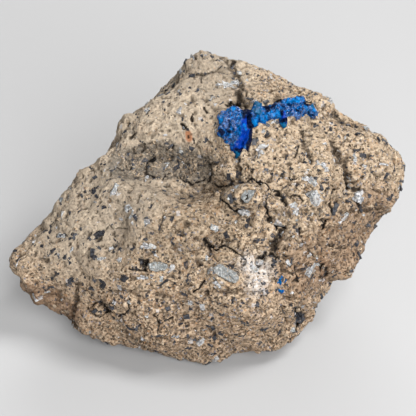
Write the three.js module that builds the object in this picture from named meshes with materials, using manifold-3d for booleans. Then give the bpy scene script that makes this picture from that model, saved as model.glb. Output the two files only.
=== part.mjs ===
// A hand specimen of pale pumice tuff with bright blue hauyne crystals in a pocket near its crown,
// and coarse sanidine and augite crystals bedded in the rock.
// Millimetres, +Z up, -Y towards the show face. The exported group's origin is under the middle of
// the rock's box, at the level of the flat that it stands on.

import * as THREE from "three";
import { ConvexGeometry } from "three/addons/geometries/ConvexGeometry.js";
import { ImprovedNoise } from "three/addons/math/ImprovedNoise.js";
import { mergeVertices } from "three/addons/utils/BufferGeometryUtils.js";
import Module from "manifold-3d";

const wasm = await Module();
wasm.setup();

// ---- Driving dimensions --------------------------------------------------------------------------

const HEART = new THREE.Vector3(0, -3, 18); // the point that the rock's surface is measured from
const SPHERE_DETAIL = 17; // the ball under the rock has 20 x (detail + 1) squared faces
const CORNER_SHARPNESS = 34; // higher leaves less rounding where the broken faces meet
const STANDING_LEVEL = 1; // the lump is cut off flat here, where it rests
const SEAT_GAP = 0.3; // clearance between a crystal and the rock it sits in

// Corners of the broken lump, before its edges are rounded and its relief is added.
const CROWN = [
  [-1, 8, 40],
  [5.5, 9, 38.5],
  [8.5, 8.5, 37.4],
  [16.5, 6, 34.2],
  [20, 3.5, 32.8],
  [9, -4, 33.5],
  [17, -3, 33],
];
const LEFT_SHOULDER = [
  [-8.6, 2, 35.7],
  [-13.2, 1, 31.8],
  [-13.4, -3, 28],
  [-9, -12, 28],
  [4, -12.5, 28],
];
const LEFT_END = [
  [-19.6, -4, 23.4],
  [-25.6, -8, 17.3],
  [-31, -10, 14.2],
  [-28.2, -12, 10.6],
  [-27, -12.5, 7.6],
];
const RIGHT_END = [
  [27, 4, 29.8],
  [30.2, 2, 27.2],
  [30.8, 1, 23.8],
  [30.6, -1, 20.6],
  [28.9, -3, 18.2],
  [24.6, -5, 14.5],
  [22.6, -7, 11],
];
const BELLY = [
  [-19, -17, 12],
  [-9, -21.5, 15.5],
  [2, -23.8, 16.5],
  [12, -20.8, 14],
  [14.5, -17, 22],
  [22.5, -9, 24],
];
const FOOT = [
  [-20.5, -14, 5.2],
  [-13, -16.5, 3],
  [-5, -20, 2.2],
  [3, -21, 2.2],
  [11, -17.6, 2.4],
  [15.2, -12, 4.4],
  [18.9, -8, 8.8],
];
const BACK = [
  [-9.5, 12, 27.8],
  [4, 15.5, 31.5],
  [18, 12, 26],
  [-18, 8, 15],
  [0, 20, 17],
  [22, 11, 15],
  [-15, 12, 5],
  [1, 17, 3],
  [14, 12, 4],
];
const STANDING = [
  [-14, -11, 0],
  [-4, -15, 0],
  [8, -14, 0],
  [13, -4, 0],
  [11, 8, 0],
  [-1, 12, 0],
  [-12, 8, 0],
];

// Relief: each form is an ellipsoid of influence on the rock's surface. Its line gives where it is,
// its long axis, its half lengths along and across that axis, how far the surface rises (or, where
// negative, sinks), and its edge: 2 is a soft bowl, and more a flat floor with a steep rim.
const RELIEF = [
  // the crown and the pocket
  ["knob on the crown", [-1, 8, 39], [1, 0, 0], [5, 4], 0.9, 2],
  ["dip left of the crown", [-7.6, 5, 35.3], [1, 1, 1], [6, 4], -1, 2],
  ["flat right of the crown", [12.9, 5.4, 35.8], [1, 0, -0.3], [6, 5], -1.7, 2],
  ["furrow down the crown", [3.9, 3.4, 37], [0.2, -0.8, -0.5], [8, 2.6], -2, 2],
  ["dome under the pocket", [12, -8.5, 30], [0.4, 0, -1], [9, 6.5], 1.5, 2],
  // the left slope
  ["great hollow", [-5.2, -8.4, 30.8], [1, -0.3, 0], [11.5, 6.6], -5.6, 4],
  ["hollow's right end", [2.4, -10, 29.5], [1, -0.3, 0], [5.5, 3.4], -1.8, 2],
  ["left shoulder", [-13.2, 2, 31.4], [0.5, 0.3, 0.9], [4, 3], 0.9, 2],
  ["dip by the left shoulder", [-15.5, 5.5, 25.8], [0, 1, 0], [11, 5], -2.2, 2],
  ["dip on the left slope", [-25, -7, 19.8], [0, 1, 0], [7, 4.5], -1.7, 2],
  // the right flank
  ["notch in the skyline", [21.2, 2.8, 32], [0.1, -0.8, -0.5], [7, 2.6], -2, 2],
  ["furrow on the right", [20.6, -5.5, 28.5], [0.1, -0.65, -0.75], [9, 2.7], -1.9, 2],
  ["right lobe", [26, -2, 25], [1, 0, 0], [6, 6], 0.9, 2],
  ["valley on the flank", [17, -14, 19], [0.15, -0.3, -0.9], [9, 3.8], -2.2, 2],
  ["flat low on the right", [18, -12.6, 10], [0.4, 0, 1], [5, 4], -1.2, 2],
  // the front
  ["middle block", [6, -12.5, 27], [1, 0, 0], [5, 3.8], 1.4, 3],
  ["cleft under the block", [1.6, -18.3, 22], [1, -0.1, 0.1], [5.5, 2.2], -2.2, 2],
  ["cleft beside the block", [8.8, -16.5, 23], [-0.3, -0.6, -0.7], [6, 2.3], -2.3, 2],
  ["second block", [12.5, -16, 22], [0, 0, 1], [4.5, 3.4], 1, 2],
  ["step at the left end", [-23.6, -14, 6.8], [1, 0, 0], [6, 5], -1.8, 4],
  ["pit on the left", [-15.4, -17.7, 11], [1, 0, 0], [2.8, 2.4], -1.5, 2],
  ["nick in the foot", [5, -20.5, 3.4], [0, 0, 1], [4, 2.6], -1.4, 2],
  // the back
  ["hollow on the back", [8, 16, 17], [0.6, 0, 1], [9, 6], -2.6, 3],
  ["furrow on the back", [-9, 13, 17], [0.4, 0, 1], [12, 3], -2, 2],
];

// Clods of pumice all over the rock, spread evenly by the golden angle.
const CLODS = { count: 90, across: [3, 6], stretch: 1.25, rise: [0.35, 1], edge: 3, stray: 0.9 };
// The broken rock's own unevenness: the size of its coarsest waves and how high they stand.
const WAVES = { size: 9, height: 1.1, octaves: 3 };

// The pocket's own axes: across it to the right, up its slope, and straight out of it.
const POCKET = {
  across: new THREE.Vector3(1, 0, 0),
  up: new THREE.Vector3(0, 0.545, 0.8387),
  out: new THREE.Vector3(0, -0.8387, 0.545),
};

// Hauyne crystals, each a stretched rhombic dodecahedron. "at" and "half" go across, up and out, and
// "turn" is the crystal's roll about the outward axis, in degrees.
const MAIN_CRYSTAL = [
  { at: [4, 25.5, 22.1], half: [2.3, 3.1, 2.1], turn: 8 },
  { at: [2.7, 27, 21.7], half: [1.4, 1.6, 1.5], turn: 20 },
  { at: [4.1, 27.9, 21.4], half: [1.7, 1.2, 1.5], turn: -10 },
  { at: [2.1, 25, 22], half: [1, 1.1, 1.3], turn: 35 },
  { at: [2.9, 24, 22.3], half: [1.4, 1.3, 1.4], turn: 10 },
  { at: [4.2, 23.2, 22.5], half: [1.3, 1.4, 1.5], turn: -15 },
  { at: [4.9, 25.3, 22.5], half: [1.1, 2.7, 1.6], turn: 4 },
];
const SEAM_CRYSTALS = [
  { at: [6.5, 24.3, 20.9], half: [0.9, 1.6, 1.2], turn: 10 }, // the lining beside the main crystal
  { at: [6.4, 26, 20.5], half: [1, 1.6, 1.3], turn: -5 },
  { at: [6.4, 27.6, 20.1], half: [1.1, 1.5, 1.3], turn: 12 },
  { at: [6.9, 26.5, 21.1], half: [1, 1.2, 1.2], turn: 30 }, // the strip from there along the front
  { at: [8, 27.1, 20.9], half: [1.4, 1.1, 1.3], turn: 18 },
  { at: [9.4, 27.7, 20.3], half: [1.6, 1, 1.4], turn: 15 },
  { at: [7.2, 29.1, 19.6], half: [1.1, 1.3, 1.5], turn: 0 }, // the upright at the left
  { at: [7.3, 28, 20], half: [1.1, 1.2, 1.5], turn: 25 },
  { at: [8.9, 28.9, 19.2], half: [1.3, 0.9, 1.3], turn: -8 },
  { at: [10.1, 28.8, 19.1], half: [1.3, 1.1, 1.4], turn: 20 },
  { at: [11.1, 29.2, 18.7], half: [1.6, 1.4, 1.8], turn: 10 }, // the block
  { at: [12.6, 29.4, 18.3], half: [1.9, 1.6, 2], turn: 10 },
  { at: [13.5, 29.9, 17.9], half: [1.3, 1.3, 1.8], turn: 8 },
  { at: [10.9, 28, 19.7], half: [1.5, 1.3, 1.6], turn: -20 }, // in front of the block
  { at: [12.2, 28.1, 19.1], half: [1.6, 1.3, 1.6], turn: 5 },
  { at: [13.7, 28.5, 18.4], half: [1.4, 1.2, 1.5], turn: -15 },
  { at: [11.2, 26.8, 20.4], half: [1, 1.3, 1.3], turn: 15 }, // the tongue
  { at: [15, 29, 17.4], half: [1.2, 1.3, 1.6], turn: -20 }, // the end piece
  { at: [15.6, 28.3, 17.5], half: [1, 1.1, 1.4], turn: 10 },
];
// The open gap beside and above the main crystal, where the pocket runs on without filling.
const OPEN_GAP = [
  { at: [6.1, 27.4, 22.4], half: [1, 1.5, 1.6], turn: 0 },
  { at: [6.2, 25.2, 22.6], half: [1, 2.1, 2.2], turn: 0 },
  { at: [3.6, 29.3, 20.8], half: [1.4, 0.9, 1.4], turn: 0 },
];
// How far a crystal's corner may lie from the ideal one, as shares of its distance from the middle.
const CORNER_STRAY = [0.88, 1.12];
// A crystal's faces lean, so its corners move out by more than the clearance that its faces need.
const SEAT_MARGIN = 1.45 * SEAT_GAP;

// The largest crystals bedded in the rock by themselves. "along" is the crystal's length, "out"
// points through its broad face, and "half" is half its length, width and thickness.
const BEDDED = {
  sanidine_front: {
    at: [2.3, -21.5, 19.3],
    along: [0.91, -0.23, -0.35],
    out: [0.1, -0.75, 0.65],
    half: [2, 1.2, 0.9],
  },
  sanidine_lath: {
    at: [-7.2, -18.6, 18.9],
    along: [1, 0.05, 0.08],
    out: [0, -0.85, 0.52],
    half: [1.6, 0.7, 0.7],
  },
  sanidine_block: {
    at: [5.8, -14.1, 28],
    along: [0.5, 0.5, 0.7],
    out: [-0.1, -0.7, 0.7],
    half: [1.1, 1, 0.8],
  },
  augite_left: {
    at: [-10.2, -17.7, 18.9],
    along: [0.6, 0.4, 0.7],
    out: [-0.2, -0.85, 0.49],
    half: [0.9, 0.7, 0.8],
  },
};
// A bedded crystal's outline at one end, as shares of half its length and half its width.
const TABLET_END = [
  [1, 0.45],
  [0.62, 1],
  [1, -0.35],
  [0.7, -1],
];

const ROCK_LOOK = { color: 0xbfa685, roughness: 0.95, metalness: 0 };
const HAUYNE_LOOK = { color: 0x1f5fb8, roughness: 0.25, metalness: 0 };
const SANIDINE_LOOK = { color: 0xb9b7a6, roughness: 0.3, metalness: 0 };
const AUGITE_LOOK = { color: 0x22242a, roughness: 0.3, metalness: 0 };

// ---- Helpers -------------------------------------------------------------------------------------

const vector = (place) => (place.isVector3 ? place : new THREE.Vector3(...place));
const between = ([low, high], share) => low + (high - low) * share;
const noise = new ImprovedNoise();

// A repeatable number from 0 to 1 for the nth draw of a series.
function draw(n, series) {
  const wave = Math.sin(n * 127.1 + series * 311.7) * 43758.5453;
  return wave - Math.floor(wave);
}

// Waves of a given size with finer and lower ones on top of them.
function fractal(point, size, octaves) {
  let sum = 0;
  for (let octave = 0; octave < octaves; octave++) {
    const k = 2 ** octave / size;
    sum += noise.noise(point.x * k + 11.3, point.y * k + 5.7, point.z * k + 2.9) / 2 ** octave;
  }
  return sum;
}

// ---- Solids --------------------------------------------------------------------------------------

function solidOf(geometry) {
  const bare = new THREE.BufferGeometry().setAttribute("position", geometry.getAttribute("position"));
  if (geometry.index) bare.setIndex(geometry.index);
  const merged = mergeVertices(bare, 1e-4);
  return new wasm.Manifold(
    new wasm.Mesh({
      numProp: 3,
      vertProperties: new Float32Array(merged.getAttribute("position").array),
      triVerts: new Uint32Array(merged.index.array),
    }),
  );
}

function geometryOf(solid) {
  const { numProp, numVert, vertProperties, triVerts } = solid.getMesh();
  const positions = new Float32Array(numVert * 3);
  for (let i = 0; i < numVert; i++) {
    positions.set(vertProperties.subarray(i * numProp, i * numProp + 3), i * 3);
  }
  const geometry = new THREE.BufferGeometry();
  geometry.setAttribute("position", new THREE.BufferAttribute(positions, 3));
  geometry.setIndex(new THREE.BufferAttribute(triVerts, 1));
  return geometry;
}

const joined = (solids) => solids.reduce((sum, solid) => sum.add(solid));

// ---- The rock ------------------------------------------------------------------------------------

// The faces of the convex lump, as unit normals and distances from the heart.
function lumpFaces() {
  const corners = [CROWN, LEFT_SHOULDER, LEFT_END, RIGHT_END, BELLY, FOOT, BACK, STANDING].flat();
  const hull = new ConvexGeometry(corners.map((corner) => vector(corner).sub(HEART)));
  const position = hull.getAttribute("position");
  const faces = [];
  for (let i = 0; i < position.count; i += 3) {
    const [a, b, c] = [0, 1, 2].map((k) => new THREE.Vector3().fromBufferAttribute(position, i + k));
    const plane = new THREE.Plane().setFromCoplanarPoints(a, b, c);
    faces.push({ normal: plane.normal, distance: Math.abs(plane.constant) });
  }
  return faces;
}

// How far the rounded lump's surface lies from the heart in one direction.
function lumpRadius(faces, direction) {
  let sum = 0;
  for (const { normal, distance } of faces) {
    const facing = normal.dot(direction);
    if (facing > 0) sum += (facing / distance) ** CORNER_SHARPNESS;
  }
  return sum ** (-1 / CORNER_SHARPNESS);
}

const onLump = (faces, direction) =>
  direction.clone().multiplyScalar(lumpRadius(faces, direction)).add(HEART);

function clods(faces) {
  const forms = [];
  const goldenAngle = Math.PI * (3 - Math.sqrt(5));
  for (let n = 0; n < CLODS.count; n++) {
    const z = 1 - (2 * n + 1) / CLODS.count;
    const ring = Math.sqrt(1 - z * z);
    const turn = n * goldenAngle + CLODS.stray * draw(n, 1);
    const direction = new THREE.Vector3(ring * Math.cos(turn), ring * Math.sin(turn), z);
    const half = between(CLODS.across, draw(n, 2));
    const along = [draw(n, 3) - 0.5, draw(n, 4) - 0.5, draw(n, 5) - 0.5];
    const rise = between(CLODS.rise, draw(n, 6));
    forms.push(["clod", onLump(faces, direction), along, [half * CLODS.stretch, half], rise, CLODS.edge]);
  }
  return forms;
}

// How far all the relief together lifts the rock's surface at one point.
function riseAt(point, forms) {
  let rise = WAVES.height * fractal(point, WAVES.size, WAVES.octaves);
  for (const form of forms) {
    const away = point.clone().sub(form.at);
    const lengthwise = away.dot(form.axis);
    const crosswise = Math.sqrt(Math.max(0, away.lengthSq() - lengthwise ** 2));
    const reach = Math.hypot(lengthwise / form.half[0], crosswise / form.half[1]);
    if (reach < 1) rise += form.rise * (1 - reach ** form.edge) ** 2;
  }
  return rise;
}

function brokenLump() {
  const faces = lumpFaces();
  const forms = [...RELIEF, ...clods(faces)].map(([, at, along, half, rise, edge]) => {
    return { at: vector(at), axis: vector(along).normalize(), half, rise, edge };
  });
  const sphere = new THREE.IcosahedronGeometry(1, SPHERE_DETAIL);
  sphere.deleteAttribute("normal");
  sphere.deleteAttribute("uv");
  const geometry = mergeVertices(sphere, 1e-5);
  const position = geometry.getAttribute("position");
  for (let i = 0; i < position.count; i++) {
    const direction = new THREE.Vector3().fromBufferAttribute(position, i).normalize();
    const point = onLump(faces, direction);
    point.addScaledVector(direction, riseAt(point, forms));
    position.setXYZ(i, point.x, point.y, point.z);
  }
  return solidOf(geometry);
}

// Everything under one level, as a block wider than the rock that cuts its foot off flat.
function belowLevel(level) {
  const block = new THREE.BoxGeometry(120, 120, 20);
  return solidOf(block.translate(0, 0, level - 10));
}

// ---- The crystals --------------------------------------------------------------------------------

// Corners of a rhombic dodecahedron that reaches 1 along each axis.
function dodecahedronCorners() {
  const corners = [];
  for (let i = 0; i < 8; i++) {
    corners.push(new THREE.Vector3(i & 1 ? 0.5 : -0.5, i & 2 ? 0.5 : -0.5, i & 4 ? 0.5 : -0.5));
  }
  for (const side of [-1, 1]) {
    corners.push(vector([side, 0, 0]), vector([0, side, 0]), vector([0, 0, side]));
  }
  return corners;
}

// One crystal of the pocket, a little uneven, with its corners moved out by "margin".
function hauyne({ at, half, turn }, number, margin) {
  const roll = THREE.MathUtils.degToRad(turn);
  const ideal = dodecahedronCorners();
  const corners = ideal.map((corner, i) => {
    const stray = between(CORNER_STRAY, draw(i + ideal.length * number, 7));
    const across = corner.x * (half[0] * stray + margin);
    const up = corner.y * (half[1] * stray + margin);
    const out = corner.z * (half[2] * stray + margin);
    return new THREE.Vector3()
      .addScaledVector(POCKET.across, at[0] + across * Math.cos(roll) - up * Math.sin(roll))
      .addScaledVector(POCKET.up, at[1] + across * Math.sin(roll) + up * Math.cos(roll))
      .addScaledVector(POCKET.out, at[2] + out);
  });
  return solidOf(new ConvexGeometry(corners));
}

const hauynes = (list, margin = 0) => joined(list.map((form, number) => hauyne(form, number, margin)));

// A bedded crystal: a tablet with bevelled ends, its corners moved out by "margin".
function tablet({ at, along, out, half }, margin = 0) {
  const length = vector(along).normalize();
  const width = vector(out).cross(length).normalize();
  const thickness = length.clone().cross(width);
  const [l, w, t] = half.map((reach) => reach + margin);
  const corners = [];
  for (const end of [-1, 1]) {
    for (const face of [-1, 1]) {
      for (const [lengthwise, sideways] of TABLET_END) {
        const corner = vector(at).addScaledVector(length, end * lengthwise * l);
        corners.push(corner.addScaledVector(width, end * sideways * w).addScaledVector(thickness, face * t));
      }
    }
  }
  return solidOf(new ConvexGeometry(corners));
}

// ---- The specimen --------------------------------------------------------------------------------

const rock = brokenLump()
  .subtract(belowLevel(STANDING_LEVEL))
  .subtract(hauynes(MAIN_CRYSTAL, SEAT_MARGIN))
  .subtract(hauynes(SEAM_CRYSTALS, SEAT_MARGIN))
  .subtract(hauynes(OPEN_GAP))
  .subtract(joined(Object.values(BEDDED).map((form) => tablet(form, SEAT_GAP))));
const seam = hauynes(SEAM_CRYSTALS).subtract(hauynes(MAIN_CRYSTAL, SEAT_MARGIN));

const { min, max } = rock.boundingBox();
const origin = new THREE.Vector3((min[0] + max[0]) / 2, (min[1] + max[1]) / 2, min[2]);

const group = new THREE.Group();

function addNode(name, solid, look) {
  const geometry = geometryOf(solid).translate(-origin.x, -origin.y, -origin.z);
  const mesh = new THREE.Mesh(geometry, new THREE.MeshStandardMaterial(look));
  mesh.name = name;
  group.add(mesh);
}

addNode("matrix", rock, ROCK_LOOK);
addNode("hauyne_main_crystal", hauynes(MAIN_CRYSTAL), HAUYNE_LOOK);
addNode("hauyne_seam", seam, HAUYNE_LOOK);
for (const [name, form] of Object.entries(BEDDED)) {
  addNode(name, tablet(form), name.startsWith("augite") ? AUGITE_LOOK : SANIDINE_LOOK);
}

export default group;
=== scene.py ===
"""Hauyne on matrix: a nest of blue crystals in a loose lump of tan pumice tuff.

Lengths are in millimetres until a piece is finished, and each finished piece is turned to metres.
"""
import math
import random

import bmesh
import bpy
import numpy as np
from mathutils import Matrix, Vector, noise
from mathutils.bvhtree import BVHTree


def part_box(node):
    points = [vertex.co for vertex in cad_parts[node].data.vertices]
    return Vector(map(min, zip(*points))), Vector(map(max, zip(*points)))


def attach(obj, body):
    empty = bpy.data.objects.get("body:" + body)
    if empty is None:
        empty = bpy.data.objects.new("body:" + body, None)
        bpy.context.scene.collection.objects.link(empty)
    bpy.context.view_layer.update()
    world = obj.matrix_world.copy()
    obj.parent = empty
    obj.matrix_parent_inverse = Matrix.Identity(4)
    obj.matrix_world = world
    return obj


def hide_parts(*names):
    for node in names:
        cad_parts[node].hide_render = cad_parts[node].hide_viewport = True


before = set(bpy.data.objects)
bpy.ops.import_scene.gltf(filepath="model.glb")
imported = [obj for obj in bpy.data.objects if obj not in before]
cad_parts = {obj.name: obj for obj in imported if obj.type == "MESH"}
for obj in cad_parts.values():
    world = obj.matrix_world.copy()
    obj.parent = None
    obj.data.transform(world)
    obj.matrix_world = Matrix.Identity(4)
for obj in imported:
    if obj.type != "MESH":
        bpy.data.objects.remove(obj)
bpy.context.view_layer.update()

METRES = 0.001                      # one millimetre in metres
ROOT = "root"

# ---------------------------------------------------------------- camera
VIEW_SIDE = 416                     # the camera's view is square, this many pixels a side
LENS = 150
SENSOR = 36
PIXEL = SENSOR / LENS / VIEW_SIDE   # how wide a pixel is, as a share of its distance
CAMERA_AIM = Vector((-0.2205, -1.5528, 18.4))
CAMERA_DISTANCE = 260
CAMERA_RISE = math.radians(33)

SIGHT = Vector((0, math.cos(CAMERA_RISE), -math.sin(CAMERA_RISE)))
ACROSS = Vector((1, 0, 0))
UPWARD = ACROSS.cross(SIGHT)
EYE = CAMERA_AIM - SIGHT * CAMERA_DISTANCE


def sight_line(right, down):
    """The direction from the camera through a place in its view."""
    half = VIEW_SIDE / 2
    return (SIGHT + ACROSS * (right - half) * PIXEL + UPWARD * (half - down) * PIXEL).normalized()


def set_camera():
    lens = bpy.data.cameras.new("camera")
    lens.lens = LENS
    lens.sensor_width = SENSOR
    lens.clip_start = 0.01
    camera = bpy.data.objects.new("camera", lens)
    turn = Matrix((ACROSS, UPWARD, -SIGHT)).transposed().to_4x4()
    camera.matrix_world = Matrix.Translation(EYE * METRES) @ turn
    bpy.context.scene.collection.objects.link(camera)
    bpy.context.scene.camera = camera


# ---------------------------------------------------------------- shader tools
MIDDLE = (0.5, 0.5, 0.5)            # the mean of a noise colour
CHIP_EDGE = 0.08                    # how soft a chip's edge is, as a share of its cell
SMALLEST_CHIP = 0.45                # the smallest chip's radius, as a share of the one that is asked for


class Value:
    """A node's output. Python's operators on it add Math nodes."""

    def __init__(self, finish, socket):
        self.finish = finish
        self.socket = socket

    def maths(self, operation, first, second=0.0, third=0.0):
        settings = {"operation": operation}
        return self.finish.node("ShaderNodeMath", settings, {0: first, 1: second, 2: third})

    def __add__(self, other):
        return self.maths("ADD", self, other)

    def __radd__(self, other):
        return self.maths("ADD", other, self)

    def __sub__(self, other):
        return self.maths("SUBTRACT", self, other)

    def __rsub__(self, other):
        return self.maths("SUBTRACT", other, self)

    def __mul__(self, other):
        return self.maths("MULTIPLY", self, other)

    def __lt__(self, other):
        return self.maths("LESS_THAN", self, other)

    def ramp(self, low, high):
        """0 below low, 1 above high, smooth between."""
        settings = {"interpolation_type": "SMOOTHSTEP"}
        return self.finish.node("ShaderNodeMapRange", settings, {0: self, 1: low, 2: high})


class Finish:
    """A material, built from nodes by name."""

    def __init__(self, name):
        self.material = bpy.data.materials.new(name)
        self.material.use_nodes = True
        self.tree = self.material.node_tree
        self.shader = self.tree.nodes["Principled BSDF"]
        self.place = self.node("ShaderNodeTexCoord", out="Object")

    def node(self, kind, settings=None, sockets=None, out=0):
        """Adds a node: its settings first, then the values or links of its sockets."""
        made = self.tree.nodes.new(kind)
        for name, setting in (settings or {}).items():
            if name == "stops":
                self.set_stops(made.color_ramp, setting)
            else:
                setattr(made, name, setting)
        for key, given in (sockets or {}).items():
            self.feed(made.inputs[key], given)
        return Value(self, made.outputs[out])

    def set_stops(self, ramp, stops):
        ramp.interpolation = "CONSTANT"
        while len(ramp.elements) < len(stops):
            ramp.elements.new(1.0)
        for element, (position, colour) in zip(ramp.elements, stops):
            element.position = position
            element.color = (*colour, 1)

    def feed(self, socket, given):
        if isinstance(given, Value):
            self.tree.links.new(given.socket, socket)
        elif isinstance(given, tuple) and len(given) == 3 and len(socket.default_value) == 4:
            socket.default_value = (*given, 1)
        else:
            socket.default_value = given

    def clouds(self, size, detail, roughness=0.55, place=None):
        """Soft noise whose largest patches are about size millimetres."""
        sockets = {"Vector": place or self.place, "Scale": 1 / (size * METRES), "Detail": detail,
                   "Roughness": roughness}
        return self.node("ShaderNodeTexNoise", None, sockets)

    def cells(self, size, place=None, out="Distance", settings=None):
        """A pattern of cells about size millimetres wide."""
        sockets = {"Vector": place or self.place, "Scale": 1 / (size * METRES)}
        return self.node("ShaderNodeTexVoronoi", settings, sockets, out)

    def dice(self, size, place, settings=None):
        """A number between 0 and 1 that is the same all over each cell."""
        return self.node("ShaderNodeSeparateColor", None, {0: self.cells(size, place, "Color", settings)})

    def chips(self, size, share, radius, place):
        """1 inside broken chips, one in each of a share of the cells, with an unlike radius in each."""
        angular = {"distance": "CHEBYCHEV"}
        distance = self.cells(size, place, "Distance", angular)
        dice = self.dice(size, place, angular)
        chosen = dice < share
        second = Value(self, dice.socket.node.outputs[1])
        reach = second * second * radius + radius * SMALLEST_CHIP
        return (reach - distance).ramp(0.0, CHIP_EDGE) * chosen

    def drawn_out(self, turn, pull):
        """The object's coordinates turned and drawn out, for grains that lie one way."""
        return self.node("ShaderNodeMapping", None, {0: self.place, 2: turn, 3: pull})

    def blend(self, share, first, second, way="MIX"):
        """The first colour giving way to the second, or tinted by it where the way is MULTIPLY."""
        settings = {"data_type": "RGBA", "blend_type": way}
        return self.node("ShaderNodeMix", settings, {0: share, 6: first, 7: second}, 2)

    def mark(self, name):
        """A share between 0 and 1 that the mesh itself holds."""
        return self.node("ShaderNodeAttribute", {"attribute_name": name}, None, "Fac")

    def warped(self, amount, size, place=None):
        """Coordinates stirred by noise, so that patterns lose their round edges."""
        place = place or self.place
        stir = self.node("ShaderNodeTexNoise", None,
                         {"Vector": place, "Scale": 1 / (size * METRES), "Detail": 3.0}, 1)
        return self.vectors("ADD", {0: place, 1: self.leaning(stir, amount * METRES)})

    def vectors(self, operation, sockets):
        return self.node("ShaderNodeVectorMath", {"operation": operation}, sockets)

    def leaning(self, colour, scale):
        """A noise colour as a vector that leans any way about nought."""
        centred = self.vectors("SUBTRACT", {0: colour, 1: MIDDLE})
        return self.vectors("SCALE", {0: centred, "Scale": scale})

    def bump(self, height, depth, under=None):
        """Relief of depth millimetres for a height between 0 and 1."""
        sockets = {"Height": height, "Distance": depth * METRES}
        if under is not None:
            sockets["Normal"] = under
        return self.node("ShaderNodeBump", None, sockets)

    def wear(self, **given):
        """Sets the main shader's sockets, named with _ for a space."""
        for name, value in given.items():
            self.feed(self.shader.inputs[name.replace("_", " ")], value)
        return self.material


# ---------------------------------------------------------------- finishes
PALE_TAN = (0.49, 0.39, 0.278)
MID_TAN = (0.335, 0.246, 0.162)
DEEP_TAN = (0.19, 0.127, 0.078)
# painted shade: the dark brown put in the nooks, pits and creases of the tuff where shade falls
GAP_SHADE_BROWN = (0.030, 0.018, 0.010)
STAIN_BROWN = (0.30, 0.172, 0.084)
UMBER_AND_SHADE = (0.165, 0.095, 0.056)
OCHRE_TINT = (0.78, 0.61, 0.53)
TOAST_AND_SHADE_TINT = (0.58, 0.50, 0.46)
PAINTED_SHADE_TINT = (0.64, 0.62, 0.60)
ASH_GREY = (0.36, 0.315, 0.252)
HOLLOW_GREY_AND_SHADE = (0.088, 0.079, 0.067)
CHALK = (0.50, 0.47, 0.445)
# painted shade: the near-black put in clefts, caves and pits and under the crystals
CLEFT_SHADE_BROWN = (0.009, 0.006, 0.004)
SPECK_BLACK = (0.012, 0.013, 0.016)
SPECK_SLATE = (0.042, 0.045, 0.053)
SPECK_WHITE = (0.46, 0.45, 0.455)
RUST = (0.30, 0.095, 0.025)

# Colours of the tuff's crumbs, each with the share of the crumbs that it starts at.
CRUMB_COLOURS = [
    (0.000, (0.012, 0.008, 0.005)), (0.060, (0.072, 0.046, 0.028)), (0.130, (0.19, 0.132, 0.084)),
    (0.250, (0.31, 0.230, 0.154)), (0.470, (0.41, 0.318, 0.222)), (0.860, (0.50, 0.41, 0.305)),
    (0.930, (0.35, 0.200, 0.098)), (0.960, (0.145, 0.160, 0.200)),
]


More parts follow.
